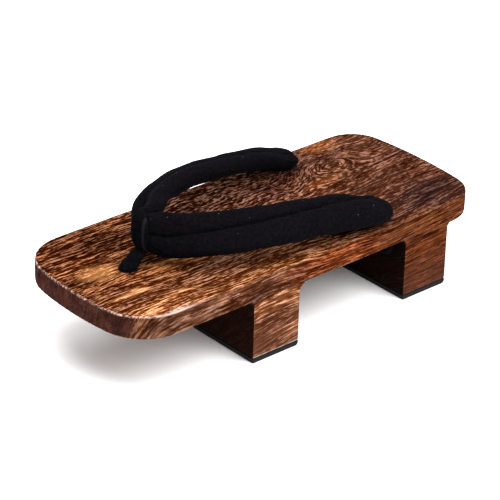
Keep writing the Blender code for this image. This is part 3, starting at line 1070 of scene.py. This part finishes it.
@dataclass(frozen=True)
class StrapRoute:
    """The strap's way from its folded middle over the foot and down through the deck.

    Across is a share of the way out to the rear hole and along of the way back to it. Lift is a share of the
    clear height under the strap. Tilt is how many degrees its face leans back from upright. Width and thick
    are shares of the strap's own. Seam is the seam's height on the face, from -1 to 1. Crease is a share of
    the seam's depth.
    """

    deck_top: float
    deck_under: float
    width: float = 25 * MM
    thickness: float = 11 * MM
    lift: float = 10.3 * MM
    fold_y: float = -75.4 * MM
    bend_y: float = 50.6 * MM
    hole_x: float = 36.8 * MM
    hole_y: float = 56.6 * MM
    bend_radius: float = 6 * MM
    neck_width: float = 9 * MM
    fullness: float = 2.5
    rows: tuple[Row, ...] = (
        Row(0.000, 0.000, 0.92, 0, 0.76, 0.40, 0.00, 0.0),
        Row(0.073, 0.008, 0.86, 1, 0.80, 0.46, 0.00, 0.0),
        Row(0.132, 0.032, 0.62, 4, 0.89, 0.74, 0.00, 0.9),
        Row(0.158, 0.063, 0.42, 10, 0.95, 0.90, -0.02, 1.0),
        Row(0.416, 0.138, 0.63, 34, 0.93, 0.95, -0.02, 1.0),
        Row(0.671, 0.233, 0.97, 56, 0.96, 0.92, 0.00, 1.0),
        Row(0.916, 0.440, 1.00, 68, 1.00, 1.00, 0.08, 1.0),
        Row(0.992, 0.678, 0.75, 74, 1.00, 0.98, 0.20, 1.0),
        Row(1.027, 0.884, 0.36, 78, 0.98, 1.00, 0.32, 1.0),
        Row(1.000, 1.000, 0.05, 84, 0.88, 0.96, 0.44, 1.0),
    )
    bend: tuple[tuple[float, float, float], ...] = (  # turn in degrees, width from strap 1 to neck 0, crease
        (0, 1.00, 1.0),
        (20, 0.90, 1.0),
        (40, 0.70, 0.8),
        (58, 0.44, 0.5),
        (75, 0.17, 0.2),
        (90, 0.00, 0.0),
    )

    @property
    def last(self) -> int:
        """The place of the table's last row, where the bend starts."""
        return len(self.rows) - 1

    @property
    def end(self) -> int:
        """The place where the strap leaves the deck below."""
        return self.last + len(self.bend)

    def row_at(self, place: float) -> tuple[Row, Row]:
        """The table between its rows, on a smooth cubic, and how it changes there.

        Args:
            place: from 0 at the fold; below 0 is the other side.

        Returns:
            The row, and its change for a step of one row.
        """
        rows = [self.rows[1].mirrored(), *self.rows]
        beyond = [2 * last - before for last, before in zip(rows[-1].values(), rows[-2].values())]
        rows.append(Row(*beyond))
        i = min(int(abs(place)), self.last - 1)
        t = abs(place) - i
        values, changes = [], []
        for a, b, c, d in zip(*(row.values() for row in rows[i : i + 4])):
            square = 2 * a - 5 * b + 4 * c - d
            cube = 3 * b - a - 3 * c + d
            values.append(0.5 * (2 * b + (c - a) * t + square * t**2 + cube * t**3))
            changes.append(0.5 * (c - a + 2 * square * t + 3 * cube * t**2))
        row, change = Row(*values), Row(*changes)
        return (row.mirrored(), change.mirrored()) if place < 0 else (row, change)

    def table_station(self, place: float) -> Station:
        """The section at a place of the table.

        Args:
            place: the place; below 0 is the other side.

        Returns:
            The section.
        """
        row, change = self.row_at(place)
        width, thick = row.width * self.width, row.thick * self.thickness
        lean = math.radians(row.tilt)
        reach = math.hypot(width / 2 * math.cos(lean), thick / 2 * math.sin(lean))
        length = self.bend_y - self.fold_y
        z = self.deck_top + row.lift * self.lift + reach
        middle = Vector((row.across * self.hole_x, self.fold_y + row.along * length, z))
        heading = Vector((change.across * self.hole_x, change.along * length, 0)).normalized()
        if place < 0:
            heading.negate()
        return Station(middle, heading, 0, row.tilt, width, thick, row.seam, row.crease, self.fullness)

    def bend_station(self, place: float) -> Station:
        """The section at a place past the table, where the strap turns down into its hole.

        Args:
            place: the place, counted from the table's end.

        Returns:
            The section.
        """
        last = self.table_station(self.last)
        i = min(int(place), len(self.bend) - 2)
        turn, share, crease = (a + (b - a) * (place - i) for a, b in zip(self.bend[i], self.bend[i + 1]))
        spin = math.radians(turn)
        centre = last.middle - Vector((0, 0, self.bend_radius))
        middle = centre + (last.heading * math.sin(spin) + Vector((0, 0, math.cos(spin)))) * self.bend_radius
        settle = (turn / 90) ** 2
        middle = middle.lerp(Vector((self.hole_x, self.hole_y, middle.z)), settle)
        heading = last.heading.lerp(Vector((0, 1, 0)), settle).normalized()
        sizes = (last.width, last.thick)
        width, thick = (self.neck_width + share * (size - self.neck_width) for size in sizes)
        fullness = 2 + share * (self.fullness - 2)
        crease *= last.crease
        return Station(middle, heading, turn, last.tilt, width, thick, last.seam, crease, fullness)

    def station(self, place: float) -> Station:
        """The section at any place of the left arm, from the fold, 0, to the end, under the deck.

        Args:
            place: the place.

        Returns:
            The section.
        """
        if place <= self.last:
            return self.table_station(place)
        turns = len(self.bend) - 1
        down = place - self.last - turns
        if down <= 0:
            return self.bend_station(place - self.last)
        neck = self.bend_station(turns)
        neck.middle.z += down * (self.deck_under - GAP - neck.middle.z)
        return neck

    def even_places(self, spacing: float) -> list[float]:
        """Places along the left arm that lie about spacing apart.

        Args:
            spacing: the distance, along the strap.

        Returns:
            The places, from the fold.
        """
        fine = 40
        places = [i / fine for i in range(self.end * fine + 1)]
        middles = [self.station(place).middle for place in places]
        runs = [0.0]
        for before, after in zip(middles, middles[1:]):
            runs.append(runs[-1] + (after - before).length)
        count = round(runs[-1] / spacing)
        chosen, i = [], 0
        for n in range(count + 1):
            target = runs[-1] * n / count
            while i < len(runs) - 2 and runs[i + 1] < target:
                i += 1
            share = (target - runs[i]) / max(runs[i + 1] - runs[i], TINY)
            chosen.append(places[i] + min(share, 1) / fine)
        return chosen


def bell(off: float) -> float:
    """1 at 0, falling towards 0 on both sides."""
    return math.exp(-(off**2))


def placed(name: str, data: bpy.types.ID) -> bpy.types.Object:
    """An object of the data, linked to the scene.

    Args:
        name: the object's name.
        data: its mesh, camera or light.

    Returns:
        The object.
    """
    obj = bpy.data.objects.new(name, data)
    bpy.context.scene.collection.objects.link(obj)
    return obj


def round_ring(
    middle: Vector, radii: list[float], side: Vector = ACROSS, up: Vector = ALONG
) -> list[Vector]:
    """A ring of points round a middle.

    Args:
        middle: the middle.
        radii: how far out each point lies.
        side: the direction to the first point.
        up: the direction to the point a quarter further on.

    Returns:
        The points.
    """
    spins = [math.tau * n / len(radii) for n in range(len(radii))]
    return [middle + (side * math.cos(a) + up * math.sin(a)) * radius for a, radius in zip(spins, radii)]


def skin_mesh(name: str, rings: list[list[Vector]], closed: bool = False) -> bpy.types.Object:
    """A closed smooth mesh over rings of equally many points.

    Args:
        name: the object's name.
        rings: the rings in order.
        closed: whether the last ring runs on to the first; otherwise both ends are capped.

    Returns:
        The object, linked to the scene.
    """
    work = bmesh.new()
    made = [[work.verts.new(point) for point in ring] for ring in rings]
    pairs = list(zip(made, made[1:]))
    if closed:
        pairs.append((made[-1], made[0]))
    for ring, following in pairs:
        for i in range(len(ring)):
            j = (i + 1) % len(ring)
            work.faces.new((ring[i], ring[j], following[j], following[i]))
    if not closed:
        for ring in (made[0], made[-1]):
            middle = work.verts.new(sum((vert.co for vert in ring), Vector()) / len(ring))
            for i in range(len(ring)):
                work.faces.new((ring[i], ring[(i + 1) % len(ring)], middle))
    bmesh.ops.recalc_face_normals(work, faces=work.faces)
    mesh = bpy.data.meshes.new(name)
    work.to_mesh(mesh)
    work.free()
    mesh.shade_smooth()
    return placed(name, mesh)


def fused(obj: bpy.types.Object, other: bpy.types.Object, voxel: float, rounds: int) -> None:
    """Fuses two overlapping closed meshes into one soft skin.

    Args:
        obj: the object that is kept.
        other: the object that goes into it.
        voxel: the size of the new faces.
        rounds: how often the skin is smoothed.
    """
    work = bmesh.new()
    work.from_mesh(obj.data)
    work.from_mesh(other.data)
    work.to_mesh(obj.data)
    work.free()
    bpy.data.objects.remove(other)
    remesh = obj.modifiers.new("one_skin", "REMESH")
    remesh.mode = "VOXEL"
    remesh.voxel_size = voxel
    remesh.use_smooth_shade = True
    relax = obj.modifiers.new("soften", "SMOOTH")
    relax.factor = 0.5
    relax.iterations = rounds
    mesh = bpy.data.meshes.new_from_object(obj.evaluated_get(bpy.context.evaluated_depsgraph_get()))
    mesh.name = obj.name
    obj.modifiers.clear()
    obj.data = mesh
    mesh.shade_smooth()


@dataclass(frozen=True)
class ClothTrial:
    """A cloth simulation that swells a coarse copy of a padded tube, so that its moves can be read off."""

    pressure: float = 4
    growth: float = 0.022  # how much larger the cloth is cut than the tube, as a share
    quality: int = 8
    stretch_stiffness: float = 8
    bend_stiffness: float = 0.05
    frames: int = 20
    cap: float = 0.45 * MM

    def swell(self, tube: bpy.types.Object, held: list[int]) -> None:
        """Sets up the simulation.

        Args:
            tube: the cloth.
            held: the vertices that stay where they are.
        """
        pins = tube.vertex_groups.new(name="held")
        pins.add(held, 1.0, "REPLACE")
        settings = tube.modifiers.new("swell", "CLOTH").settings
        settings.use_pressure = True
        settings.uniform_pressure_force = self.pressure
        settings.shrink_min = -self.growth
        settings.quality = self.quality
        settings.tension_stiffness = self.stretch_stiffness
        settings.compression_stiffness = self.stretch_stiffness
        settings.bending_stiffness = self.bend_stiffness
        settings.vertex_group_mass = pins.name
        settings.effector_weights.gravity = 0

    def run(self, rings: list[list[Vector]], held: list[list[bool]]) -> list[list[Vector]]:
        """Runs the simulation.

        Args:
            rings: the tube's rings.
            held: for each point, whether it stays where it is.

        Returns:
            How far each point moved.
        """
        tube = skin_mesh("cloth_trial", rings)
        count = len(rings[0])
        fixed = [r * count + n for r, ring in enumerate(held) for n, hold in enumerate(ring) if hold]
        self.swell(tube, [*fixed, len(rings) * count, len(rings) * count + 1])
        scene = bpy.context.scene
        for frame in range(1, self.frames + 1):
            scene.frame_set(frame)
        shape = tube.evaluated_get(bpy.context.evaluated_depsgraph_get()).data
        offsets = []
        for r, ring in enumerate(rings):
            moves = [shape.vertices[r * count + n].co - point for n, point in enumerate(ring)]
            offsets.append([move * min(1, self.cap / max(move.length, TINY)) for move in moves])
        scene.frame_set(1)
        bpy.data.objects.remove(tube)
        furthest = max(move.length for moves in offsets for move in moves)
        LOG.info("the trial moved the cloth by up to %.2f mm", furthest * PER_METRE)
        return offsets


@dataclass(frozen=True)
class Crease:
    """A soft trough or ridge in the strap's cloth. Lengths are in millimetres.

    Place and angle say where its middle lies on the strap, slant is how many degrees it leans from straight
    round the strap towards its length, and a depth below 0 is a ridge.
    """

    side: Side
    place: float
    angle: float
    slant: float
    length: float
    width: float
    depth: float

    def drop(self, along: float, round_it: float) -> float:
        """How deep it is at a distance from its middle, along the strap and round it, in metres.

        Args:
            along: the distance along the strap.
            round_it: the distance round it.

        Returns:
            The depth.
        """
        lean = math.radians(self.slant)
        down = (round_it * math.cos(lean) + along * math.sin(lean)) / (self.length * MM)
        beside = (along * math.cos(lean) - round_it * math.sin(lean)) / (self.width * MM)
        trough, bank = 1.25 * bell(2 * beside), 0.45 * bell(beside)
        return (trough - bank) * bell(2 * down) * self.depth * MM


@dataclass
class PaddedStrap:
    """The padded V strap: one soft tube from hole to hole, sewn up along its outer face."""

    route: StrapRoute
    ring_points: int = 112
    ring_spacing: float = 0.8 * MM
    seam_gather: float = 1.6  # how much closer the ring's points lie by the seam
    roll_depth: float = 1.45 * MM  # the padding's fall towards the seam
    roll_width: float = 6.5 * MM
    slit_depth: float = 1.25 * MM
    slit_width: float = 0.8 * MM
    unevenness: float = 0.45 * MM
    lump_size: float = 16 * MM
    pucker_depth: float = 0.10 * MM
    pucker_pitch: float = 3.4 * MM
    pucker_reach: float = 2.2 * MM
    pucker_off: float = 0.6  # how far from the seam they are deepest, as a share of their reach
    pucker_wander: float = 7 * MM  # the length over which their pitch changes
    crease_reach: float = 1.6  # rows of the table that a crease may spread over to either side
    smoothed: Pair = (1.5, 4.0)  # places between which the turn by the fold is eased
    smoothing_rounds: int = 60
    trial_spacing: float = 2.6 * MM
    trial_points: int = 48
    held_fold: float = 1.7  # places before which the trial holds the cloth
    held_bend: float = 2  # places past the table's end after which it does
    creases: tuple[Crease, ...] = (
        Crease(Side.LEFT, 2.6, 62, 35, 12, 1.8, 0.7),
        Crease(Side.LEFT, 3.0, 128, -30, 10, 1.5, 0.5),
        Crease(Side.LEFT, 3.6, 45, 25, 8, 1.6, 0.35),
        Crease(Side.LEFT, 6.64, 114, 6, 12, 1.6, 0.4),
        Crease(Side.LEFT, 6.72, 112, 6, 12, 2.0, -0.5),
        Crease(Side.LEFT, 8.8, 70, 10, 9, 1.6, 0.3),
        Crease(Side.RIGHT, 2.5, 60, 30, 12, 1.8, 0.7),
        Crease(Side.RIGHT, 3.1, 120, -30, 10, 1.6, 0.5),
        Crease(Side.RIGHT, 4.2, 300, 20, 9, 1.8, 0.5),
        Crease(Side.RIGHT, 8.7, 75, -10, 9, 1.6, 0.3),
    )

    def seam_dip(self, station: Station, angle: float) -> float:
        """How far the cloth is sunk towards the seam at an angle of a section.

        Args:
            station: the section.
            angle: the angle, in degrees.

        Returns:
            The depth.
        """
        if math.sin(math.radians(angle)) < 0:
            return 0
        off = station.off_seam(angle)
        roll = max(0, 1 - off / self.roll_width) ** 2 * self.roll_depth
        return station.crease * (roll + bell(off / self.slit_width) * self.slit_depth)

    def relief(self, station: Station, side: Side, place: float, run: float, angle: float) -> float:
        """How far the cloth stands off the plain section.

        Args:
            station: the section.
            side: the strap's arm.
            place: the section's place in the route.
            run: the length of strap from the fold to it.
            angle: the angle of the section.

        Returns:
            The height, in metres, below 0 in a trough.
        """
        spot = station.point(angle)
        spot.x *= side.value
        height = noise.noise(spot / self.lump_size) * self.unevenness
        by_seam = bell(station.off_seam(angle) / self.pucker_reach - self.pucker_off) * station.crease
        ripple = math.sin(math.tau * run / self.pucker_pitch + 2 * noise.noise(spot / self.pucker_wander))
        height += by_seam * ripple * self.pucker_depth
        for crease in self.creases:
            if crease.side is side and abs(crease.place - place) <= self.crease_reach:
                middle = self.route.station(crease.place)
                along = (place - crease.place) * self.place_length(crease.place)
                turn = (angle - crease.angle + 180) % 360 - 180
                height -= crease.drop(along, math.radians(turn) * (middle.width + middle.thick) / 4)
        return height * min(1, station.width / self.route.width)

    def place_length(self, place: float) -> float:
        """The length of strap for a step of one row at a place."""
        step = 0.05
        return (self.route.station(place + step).middle - self.route.station(place).middle).length / step

    def ring_angles(self, station: Station, points: int) -> list[float]:
        """The angles of a ring's points, gathered towards the seam.

        Args:
            station: the ring's section.
            points: how many there are.

        Returns:
            The angles, in degrees.
        """
        seam = math.degrees(math.acos(station.seam))
        shares = [2 * i / points - 1 for i in range(points)]
        return [seam + math.copysign(abs(share) ** self.seam_gather, share) * 180 for share in shares]

    def arm(self, side: Side, spacing: float, points: int) -> list[list[Vector]]:
        """The rings of one arm.

        Args:
            side: the arm.
            spacing: the distance between rings.
            points: how many points a ring has.

        Returns:
            The rings, from the fold to the end under the deck.
        """
        rings = []
        run = 0.0
        before = None
        places = self.route.even_places(spacing)
        for place in places:
            station = self.route.station(place)
            run += (station.middle - before).length if before else 0
            before = station.middle
            ring = []
            for angle in self.ring_angles(station, points):
                lift = self.relief(station, side, place, run, angle)
                point = station.point(angle, lift, self.seam_dip(station, angle))
                point.x *= side.value
                ring.append(point)
            rings.append(ring)
        self.ease(rings, places, spacing)
        return rings

    def ease(self, rings: list[list[Vector]], places: list[float], spacing: float) -> None:
        """Eases the strap's turn by the fold, by moving rings towards the mean of their neighbours.

        Args:
            rings: the arm's rings, which it changes.
            places: their places.
            spacing: the distance between rings.
        """
        low, high = self.smoothed
        chosen = [i for i, place in enumerate(places) if low < place < high]
        for _ in range(round(self.smoothing_rounds * (self.ring_spacing / spacing) ** 2)):
            moved = {}
            for i in chosen:
                middle = 2 * (places[i] - low) / (high - low) - 1
                share = 0.5 * (1 - middle**2)
                means = [(a + b) / 2 for a, b in zip(rings[i - 1], rings[i + 1])]
                moved[i] = [point.lerp(mean, share) for point, mean in zip(rings[i], means)]
            for i, ring in moved.items():
                rings[i] = ring

    def whole(self, spacing: float, points: int) -> list[list[Vector]]:
        """The rings of both arms, from the right end through the fold to the left end.

        Args:
            spacing: the distance between rings.
            points: how many points a ring has.

        Returns:
            The rings.
        """
        left = self.arm(Side.LEFT, spacing, points)
        right = self.arm(Side.RIGHT, spacing, points)
        return right[:0:-1] + left

    def held(self, spacing: float, points: int) -> list[list[bool]]:
        """Which points of the rings stay put in the trial: the fold, both ends, and the seam.

        Args:
            spacing: the distance between rings.
            points: how many points a ring has.

        Returns:
            For each point of each ring, whether it stays.
        """
        arm = []
        for place in self.route.even_places(spacing):
            fixed = place < self.held_fold or place > self.route.last + self.held_bend
            arm.append([fixed or abs(i - points // 2) <= 1 for i in range(points)])
        return arm[:0:-1] + arm

    def puff(self, rings: list[list[Vector]], offsets: list[list[Vector]]) -> None:
        """Moves fine rings as the skin of the trial moved, and keeps them clear of the deck.

        Args:
            rings: the rings, which it changes.
            offsets: how far each point of the trial moved.
        """
        floor = self.route.deck_top + GAP
        last = len(offsets) - 1
        for r, ring in enumerate(rings):
            along = r / (len(rings) - 1) * last
            i = min(int(along), last - 1)
            for n, point in enumerate(ring):
                around = n / len(ring) * self.trial_points
                j = int(around)
                k = (j + 1) % self.trial_points
                first, second = (row[j].lerp(row[k], around - j) for row in offsets[i : i + 2])
                moved = point + first.lerp(second, along - i)
                if point.z > floor:
                    moved.z = max(moved.z, floor)
                ring[n] = moved

    def build(self, cloth: bpy.types.Material) -> bpy.types.Object:
        """Builds the strap, and has it stand for its solid.

        Args:
            cloth: its material.

        Returns:
            The strap.
        """
        rings = self.whole(self.ring_spacing, self.ring_points)
        coarse = (self.trial_spacing, self.trial_points)
        self.puff(rings, ClothTrial().run(self.whole(*coarse), self.held(*coarse)))
        strap = skin_mesh("padded_strap", rings)
        strap.data.materials.append(cloth)
        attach(strap, BODY)
        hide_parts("strap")
        return strap


@dataclass(frozen=True)
class Knot:
    """A tied end under the deck: a tight three-lobed knot of rolled cloth."""

    width: float = 15 * MM
    depth: float = 10.6 * MM
    height: float = 8 * MM
    cord: float = 4.6 * MM
    neck: tuple[Pair, ...] = ((0, 2.52 * MM), (6 * MM, 1.848 * MM))  # how far down, and its radius there
    steps: int = 96
    sides: int = 14
    neck_sides: int = 28
    voxel: float = 0.35 * MM
    smoothing_rounds: int = 4

    def cord_rings(self, top: Vector) -> list[list[Vector]]:
        """The rings round the knot's closed line, which hangs from a point.

        Args:
            top: the point.

        Returns:
            The rings.
        """
        middle = top - Vector((0, 0, self.height / 2))
        across, along, up = (size - self.cord for size in (self.width, self.depth, self.height))
        line = []
        for i in range(self.steps):
            t = math.tau * i / self.steps
            x = math.sin(t) + 2 * math.sin(2 * t)
            y = math.cos(t) - 2 * math.cos(2 * t)
            line.append(middle + Vector((x * across / 6, y * along / 6, -math.sin(3 * t) * up / 2)))
        rings = []
        for i, point in enumerate(line):
            heading = (line[(i + 1) % self.steps] - line[i - 1]).normalized()
            side = heading.cross(Vector((0, 0, 1))).normalized()
            rings.append(round_ring(point, [self.cord / 2] * self.sides, side, side.cross(heading)))
        return rings

    def build(self, name: str, top: Vector, cloth: bpy.types.Material, slot: Slot) -> bpy.types.Object:
        """Builds the knot as a piece of its own.

        Args:
            name: the piece's name.
            top: the point that it hangs from.
            cloth: its material.
            slot: not used.

        Returns:
            The knot.
        """
        knot = skin_mesh(name, self.cord_rings(top), closed=True)
        levels = [(top - Vector((0, 0, drop)), radius) for drop, radius in self.neck]
        core = [round_ring(middle, [radius] * self.neck_sides) for middle, radius in levels]
        fused(knot, skin_mesh(name + "_core", core), self.voxel, self.smoothing_rounds)
        knot.data.materials.append(cloth)
        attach(knot, BODY)
        return knot


@dataclass
class ToeLoop:
    """The loop that binds the strap's fold: a folded band of cloth with a stem down through the deck."""

    route: StrapRoute
    hole_y: float = -84 * MM
    thickness: float = 1.8 * MM
    hidden_thickness: float = 0.8 * MM
    front_reach: float = 1.35  # rows of the strap's table that it covers to either side in front
    hidden_reach: float = 0.75
    rim: float = 0.45  # the thickness at its rims, as a share
    turns: int = 140
    shares: int = 26
    fold: tuple[float, float, float] = (-0.75 * MM, 0.1, 0.16)  # height, and place and width as shares
    ridge: tuple[float, float, float] = (0.35 * MM, 0.78, 0.13)
    stem_radius: float = 4.1 * MM
    stem_rows: tuple[Pair, ...] = (  # a share of the way up, and of the radius
        (0.0, 1.02),
        (0.08, 1.16),
        (0.24, 1.17),
        (0.45, 1.04),
        (0.85, 0.84),
        (1.0, 0.62),
    )
    stem_steps: int = 14
    stem_sides: int = 56
    pleats: int = 7
    pleat_depth: float = 0.22 * MM
    pleat_rise: float = 1.6  # how fast they deepen on the way up
    voxel: float = 0.3 * MM
    smoothing_rounds: int = 3

    def band_ring(self, angle: float) -> list[Vector]:
        """A section of the band, where it lies on the strap at this angle of the strap's section.

        Args:
            angle: the angle, in degrees.

        Returns:
            The section's points, its inner side first.
        """
        front = max(0, math.sin(math.radians(angle)))
        reach = self.hidden_reach + (self.front_reach - self.hidden_reach) * front
        thickness = self.hidden_thickness + (self.thickness - self.hidden_thickness) * front
        shares = [math.sin(math.pi / 2 * (2 * i / self.shares - 1)) for i in range(self.shares + 1)]
        inner, outer = [], []
        for share in shares:
            depth = thickness * (self.rim + (1 - self.rim) * math.sqrt(max(0, 1 - share**2)))
            for height, middle, width in (self.fold, self.ridge):
                depth += front * height * bell((share - middle) / width)
            station = self.route.table_station(reach * share)
            inner.append(station.point(angle, GAP))
            outer.append(station.point(angle, GAP + depth))
        return inner + outer[::-1]

    def stem(self) -> bpy.types.Object:
        """The stem, from under the deck up to the fold, gathered into pleats towards its top.

        Returns:
            The stem.
        """
        top = self.route.table_station(0).point(180, GAP + self.hidden_thickness / 2)
        foot, mouth, base = (
            Vector((0, self.hole_y, z))
            for z in (self.route.deck_under - GAP, self.route.deck_top - GAP, self.route.deck_top + GAP)
        )
        levels = [(foot, self.route.neck_width / 2, 0.0), (mouth, self.route.neck_width / 2, 0.0)]
        for i in range(self.stem_steps + 1):
            up = i / self.stem_steps
            levels.append((base.lerp(top, up), self.radius_at(up) * self.stem_radius, up))
        spins = [math.tau * n / self.stem_sides for n in range(self.stem_sides)]
        rings = []
        for middle, radius, up in levels:
            depth = self.pleat_depth * min(1, self.pleat_rise * up)
            rings.append(round_ring(middle, [radius + depth * math.cos(self.pleats * a) for a in spins]))
        return skin_mesh("loop_stem", rings)

    def radius_at(self, up: float) -> float:
        """The stem's radius at a share of the way up, as a share of its own.

        Args:
            up: the share of the way.

        Returns:
            The share of the radius.
        """
        for (low, first), (high, second) in zip(self.stem_rows, self.stem_rows[1:]):
            if up <= high:
                return first + (second - first) * (up - low) / (high - low)
        return self.stem_rows[-1][1]

    def build(self, cloth: bpy.types.Material) -> bpy.types.Object:
        """Builds the loop, and has it stand for its solid.

        Args:
            cloth: its material.

        Returns:
            The loop.
        """
        rings = [self.band_ring(360 * i / self.turns) for i in range(self.turns)]
        loop = skin_mesh("toe_loop_cloth", rings, closed=True)
        fused(loop, self.stem(), self.voxel, self.smoothing_rounds)
        loop.data.materials.append(cloth)
        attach(loop, BODY)
        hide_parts("toe_loop")
        return loop


@dataclass(frozen=True)
class CarvedBlock:
    """The deck and its teeth, and the pads under them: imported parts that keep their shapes."""

    frame_nodes: dict[str, bpy.types.Object]
    merged: float = 0.002 * MM  # the distance within which corners are joined
    sharp_from: float = 40  # degrees; edges that turn further stay sharp
    flatness: int = 60  # how strongly large faces keep their shading flat

    def soften(self, obj: bpy.types.Object) -> None:
        """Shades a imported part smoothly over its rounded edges.

        Args:
            obj: the part.
        """
        group = bpy.data.node_groups.new("smooth_skin", "GeometryNodeTree")
        for way in ("INPUT", "OUTPUT"):
            group.interface.new_socket("Geometry", in_out=way, socket_type="NodeSocketGeometry")
        middle = ("GeometryNodeMergeByDistance", "GeometryNodeSetShadeSmooth", "GeometryNodeSetShadeSmooth")
        nodes = [group.nodes.new(kind) for kind in ("NodeGroupInput", *middle, "NodeGroupOutput")]
        for before, after in zip(nodes, nodes[1:]):
            group.links.new(before.outputs[0], after.inputs[0])
        nodes[1].inputs["Distance"].default_value = self.merged
        sharp = nodes[3]
        sharp.domain = "EDGE"
        sharp.inputs["Shade Smooth"].default_value = False
        angle = group.nodes.new("GeometryNodeInputMeshEdgeAngle")
        wide = group.nodes.new("ShaderNodeMath")
        wide.operation = "GREATER_THAN"
        wide.inputs[1].default_value = math.radians(self.sharp_from)
        group.links.new(angle.outputs[0], wide.inputs[0])
        group.links.new(wide.outputs[0], sharp.inputs["Selection"])
        obj.modifiers.new("smooth_skin", "NODES").node_group = group
        weighted = obj.modifiers.new("flat_faces_stay_flat", "WEIGHTED_NORMAL")
        weighted.weight = self.flatness
        weighted.keep_sharp = True

    def dress(self, name: str, material: bpy.types.Material) -> bpy.types.Object:
        """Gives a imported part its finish.

        Args:
            name: the part's node.
            material: the finish.

        Returns:
            The part.
        """
        part = self.frame_nodes[name]
        part.data.materials.clear()
        part.data.materials.append(material)
        self.soften(part)
        return part


@dataclass(frozen=True)
class Light:
    """A white soft box, placed by its direction from the sandal. Angles are in degrees."""

    name: str
    azimuth: float
    elevation: float
    distance: float
    size: float
    power: float


@dataclass(frozen=True)
class Studio:
    """A plain pale floor, soft boxes, and the camera that looks at the sandal from its left and front."""

    aim: Vector
    azimuth: float = 47.98
    elevation: float = 28.30
    roll: float = 1.74
    distance: float = 1.3602
    lens: float = 187.8
    clip_end: float = 50
    floor_half: float = 6
    floor_tone: Colour = (0.86, 0.86, 0.86)
    sky_strength: float = 0.85
    lights: tuple[Light, ...] = (
        Light("key_box", 100, 48, 1.5, 0.9, 31),
        Light("top_box", -20, 78, 1.5, 1.0, 22),
        Light("back_box", 250, 45, 1.6, 0.8, 14),
    )

    def add(
        self, name: str, data: bpy.types.ID, way: tuple[float, float, float], roll: float = 0
    ) -> bpy.types.Object:
        """Places a camera or a light, turned to the sandal.

        Args:
            name: its name.
            data: the camera or light.
            way: its azimuth, from the toe's side, its elevation and its distance.
            roll: how far it is turned about its own axis.

        Returns:
            The object.
        """
        azimuth, elevation = (math.radians(angle) for angle in way[:2])
        level = Vector((math.sin(azimuth), -math.cos(azimuth), 0)) * math.cos(elevation)
        away = level + Vector((0, 0, math.sin(elevation)))
        obj = placed(name, data)
        obj.location = self.aim + away * way[2]
        obj.rotation_mode = "QUATERNION"
        obj.rotation_quaternion = Quaternion(away, math.radians(roll)) @ (-away).to_track_quat("-Z", "Y")
        return obj

    def add_camera(self) -> None:
        """Adds the camera and makes it the scene's."""
        camera = bpy.data.cameras.new("camera")
        camera.lens = self.lens
        camera.clip_end = self.clip_end
        way = (self.azimuth, self.elevation, self.distance)
        bpy.context.scene.camera = self.add("camera", camera, way, self.roll)

    def add_light(self, light: Light) -> None:
        """Adds one soft box.

        Args:
            light: the soft box.
        """
        data = bpy.data.lights.new(light.name, "AREA")
        data.size = light.size
        data.energy = light.power
        self.add(light.name, data, (light.azimuth, light.elevation, light.distance))

    def add_floor(self) -> None:
        """Adds the floor."""
        mesh = bpy.data.meshes.new("floor")
        signs = ((-1, -1), (1, -1), (1, 1), (-1, 1))
        corners = [(x * self.floor_half, y * self.floor_half, 0) for x, y in signs]
        mesh.from_pydata(corners, [], [(0, 1, 2, 3)])
        floor = placed("floor", mesh)
        made = Material("pale_floor")
        made.set(Base_Color=self.floor_tone, Roughness=0.9, Specular_IOR_Level=0.2)
        mesh.materials.append(made.material)

    def build(self) -> None:
        """Sets up the whole studio."""
        scene = bpy.context.scene
        scene.view_settings.view_transform = "Standard"
        world = bpy.data.worlds.new("studio")
        world.use_nodes = True
        sky = world.node_tree.nodes["Background"]
        sky.inputs["Color"].default_value = (1, 1, 1, 1)
        sky.inputs["Strength"].default_value = self.sky_strength
        scene.world = world
        self.add_floor()
        for light in self.lights:
            self.add_light(light)
        self.add_camera()


def main() -> None:
    """Loads the frame and builds the sandal's looks around it."""
    logging.basicConfig(level=logging.INFO, format="%(name)s: %(message)s")
    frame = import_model()
    deck_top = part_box("wood_block")[1].z
    deck_under = deck_top - DECK_THICKNESS
    effects = SharedEffects.build()
    wood = BurntWood(deck_top * PER_METRE, deck_under * PER_METRE).build(effects)
    rubber = PadRubber().build(effects)
    velvet = PileCloth(
        "strap_velvet",
        deep=(0.0020, 0.0018, 0.0022),
        brushed=(0.0032, 0.0029, 0.0037),
        pile=(0.55, 0.52, 0.62),
        grain=0.4,
        lint_share=0.35,
    )
    cotton = PileCloth(
        "loop_velvet",
        deep=(0.0017, 0.0016, 0.0020),
        brushed=(0.0032, 0.0032, 0.0041),
        pile=(0.5, 0.53, 0.62),
        grain=0.5,
        lint_share=0.25,
        # a pale line up the loop's fold: worn pile and a painted highlight
        fold=WornAndHighlitFold(x=4.8, lowest=54, highest=78),
    )
    cloth, loop_cloth = velvet.build(effects), cotton.build(effects)

    block = CarvedBlock(frame["nodes"])
    for name, material in (("wood_block", wood), ("front_pad", rubber), ("rear_pad", rubber)):
        LOG.info("dressed %s", block.dress(name, material).name)

    route = StrapRoute(deck_top, deck_under)
    LOG.info("built %s", PaddedStrap(route).build(cloth).name)
    loop = ToeLoop(route)
    LOG.info("built %s", loop.build(loop_cloth).name)
    knot = Knot()
    knot_top = deck_under - GAP
    for side in Side:
        top = Vector((side.value * route.hole_x, route.hole_y, knot_top))
        LOG.info("built %s", knot.build("strap_knot_" + side.name.lower(), top, cloth, Slot.STRAP).name)
    top = Vector((0, loop.hole_y, knot_top))
    LOG.info("built %s", knot.build("loop_knot", top, loop_cloth, Slot.LOOP).name)

    Studio(Vector((-2.2, -0.2, 30)) * MM).build()


if __name__ == "__main__":
    main()
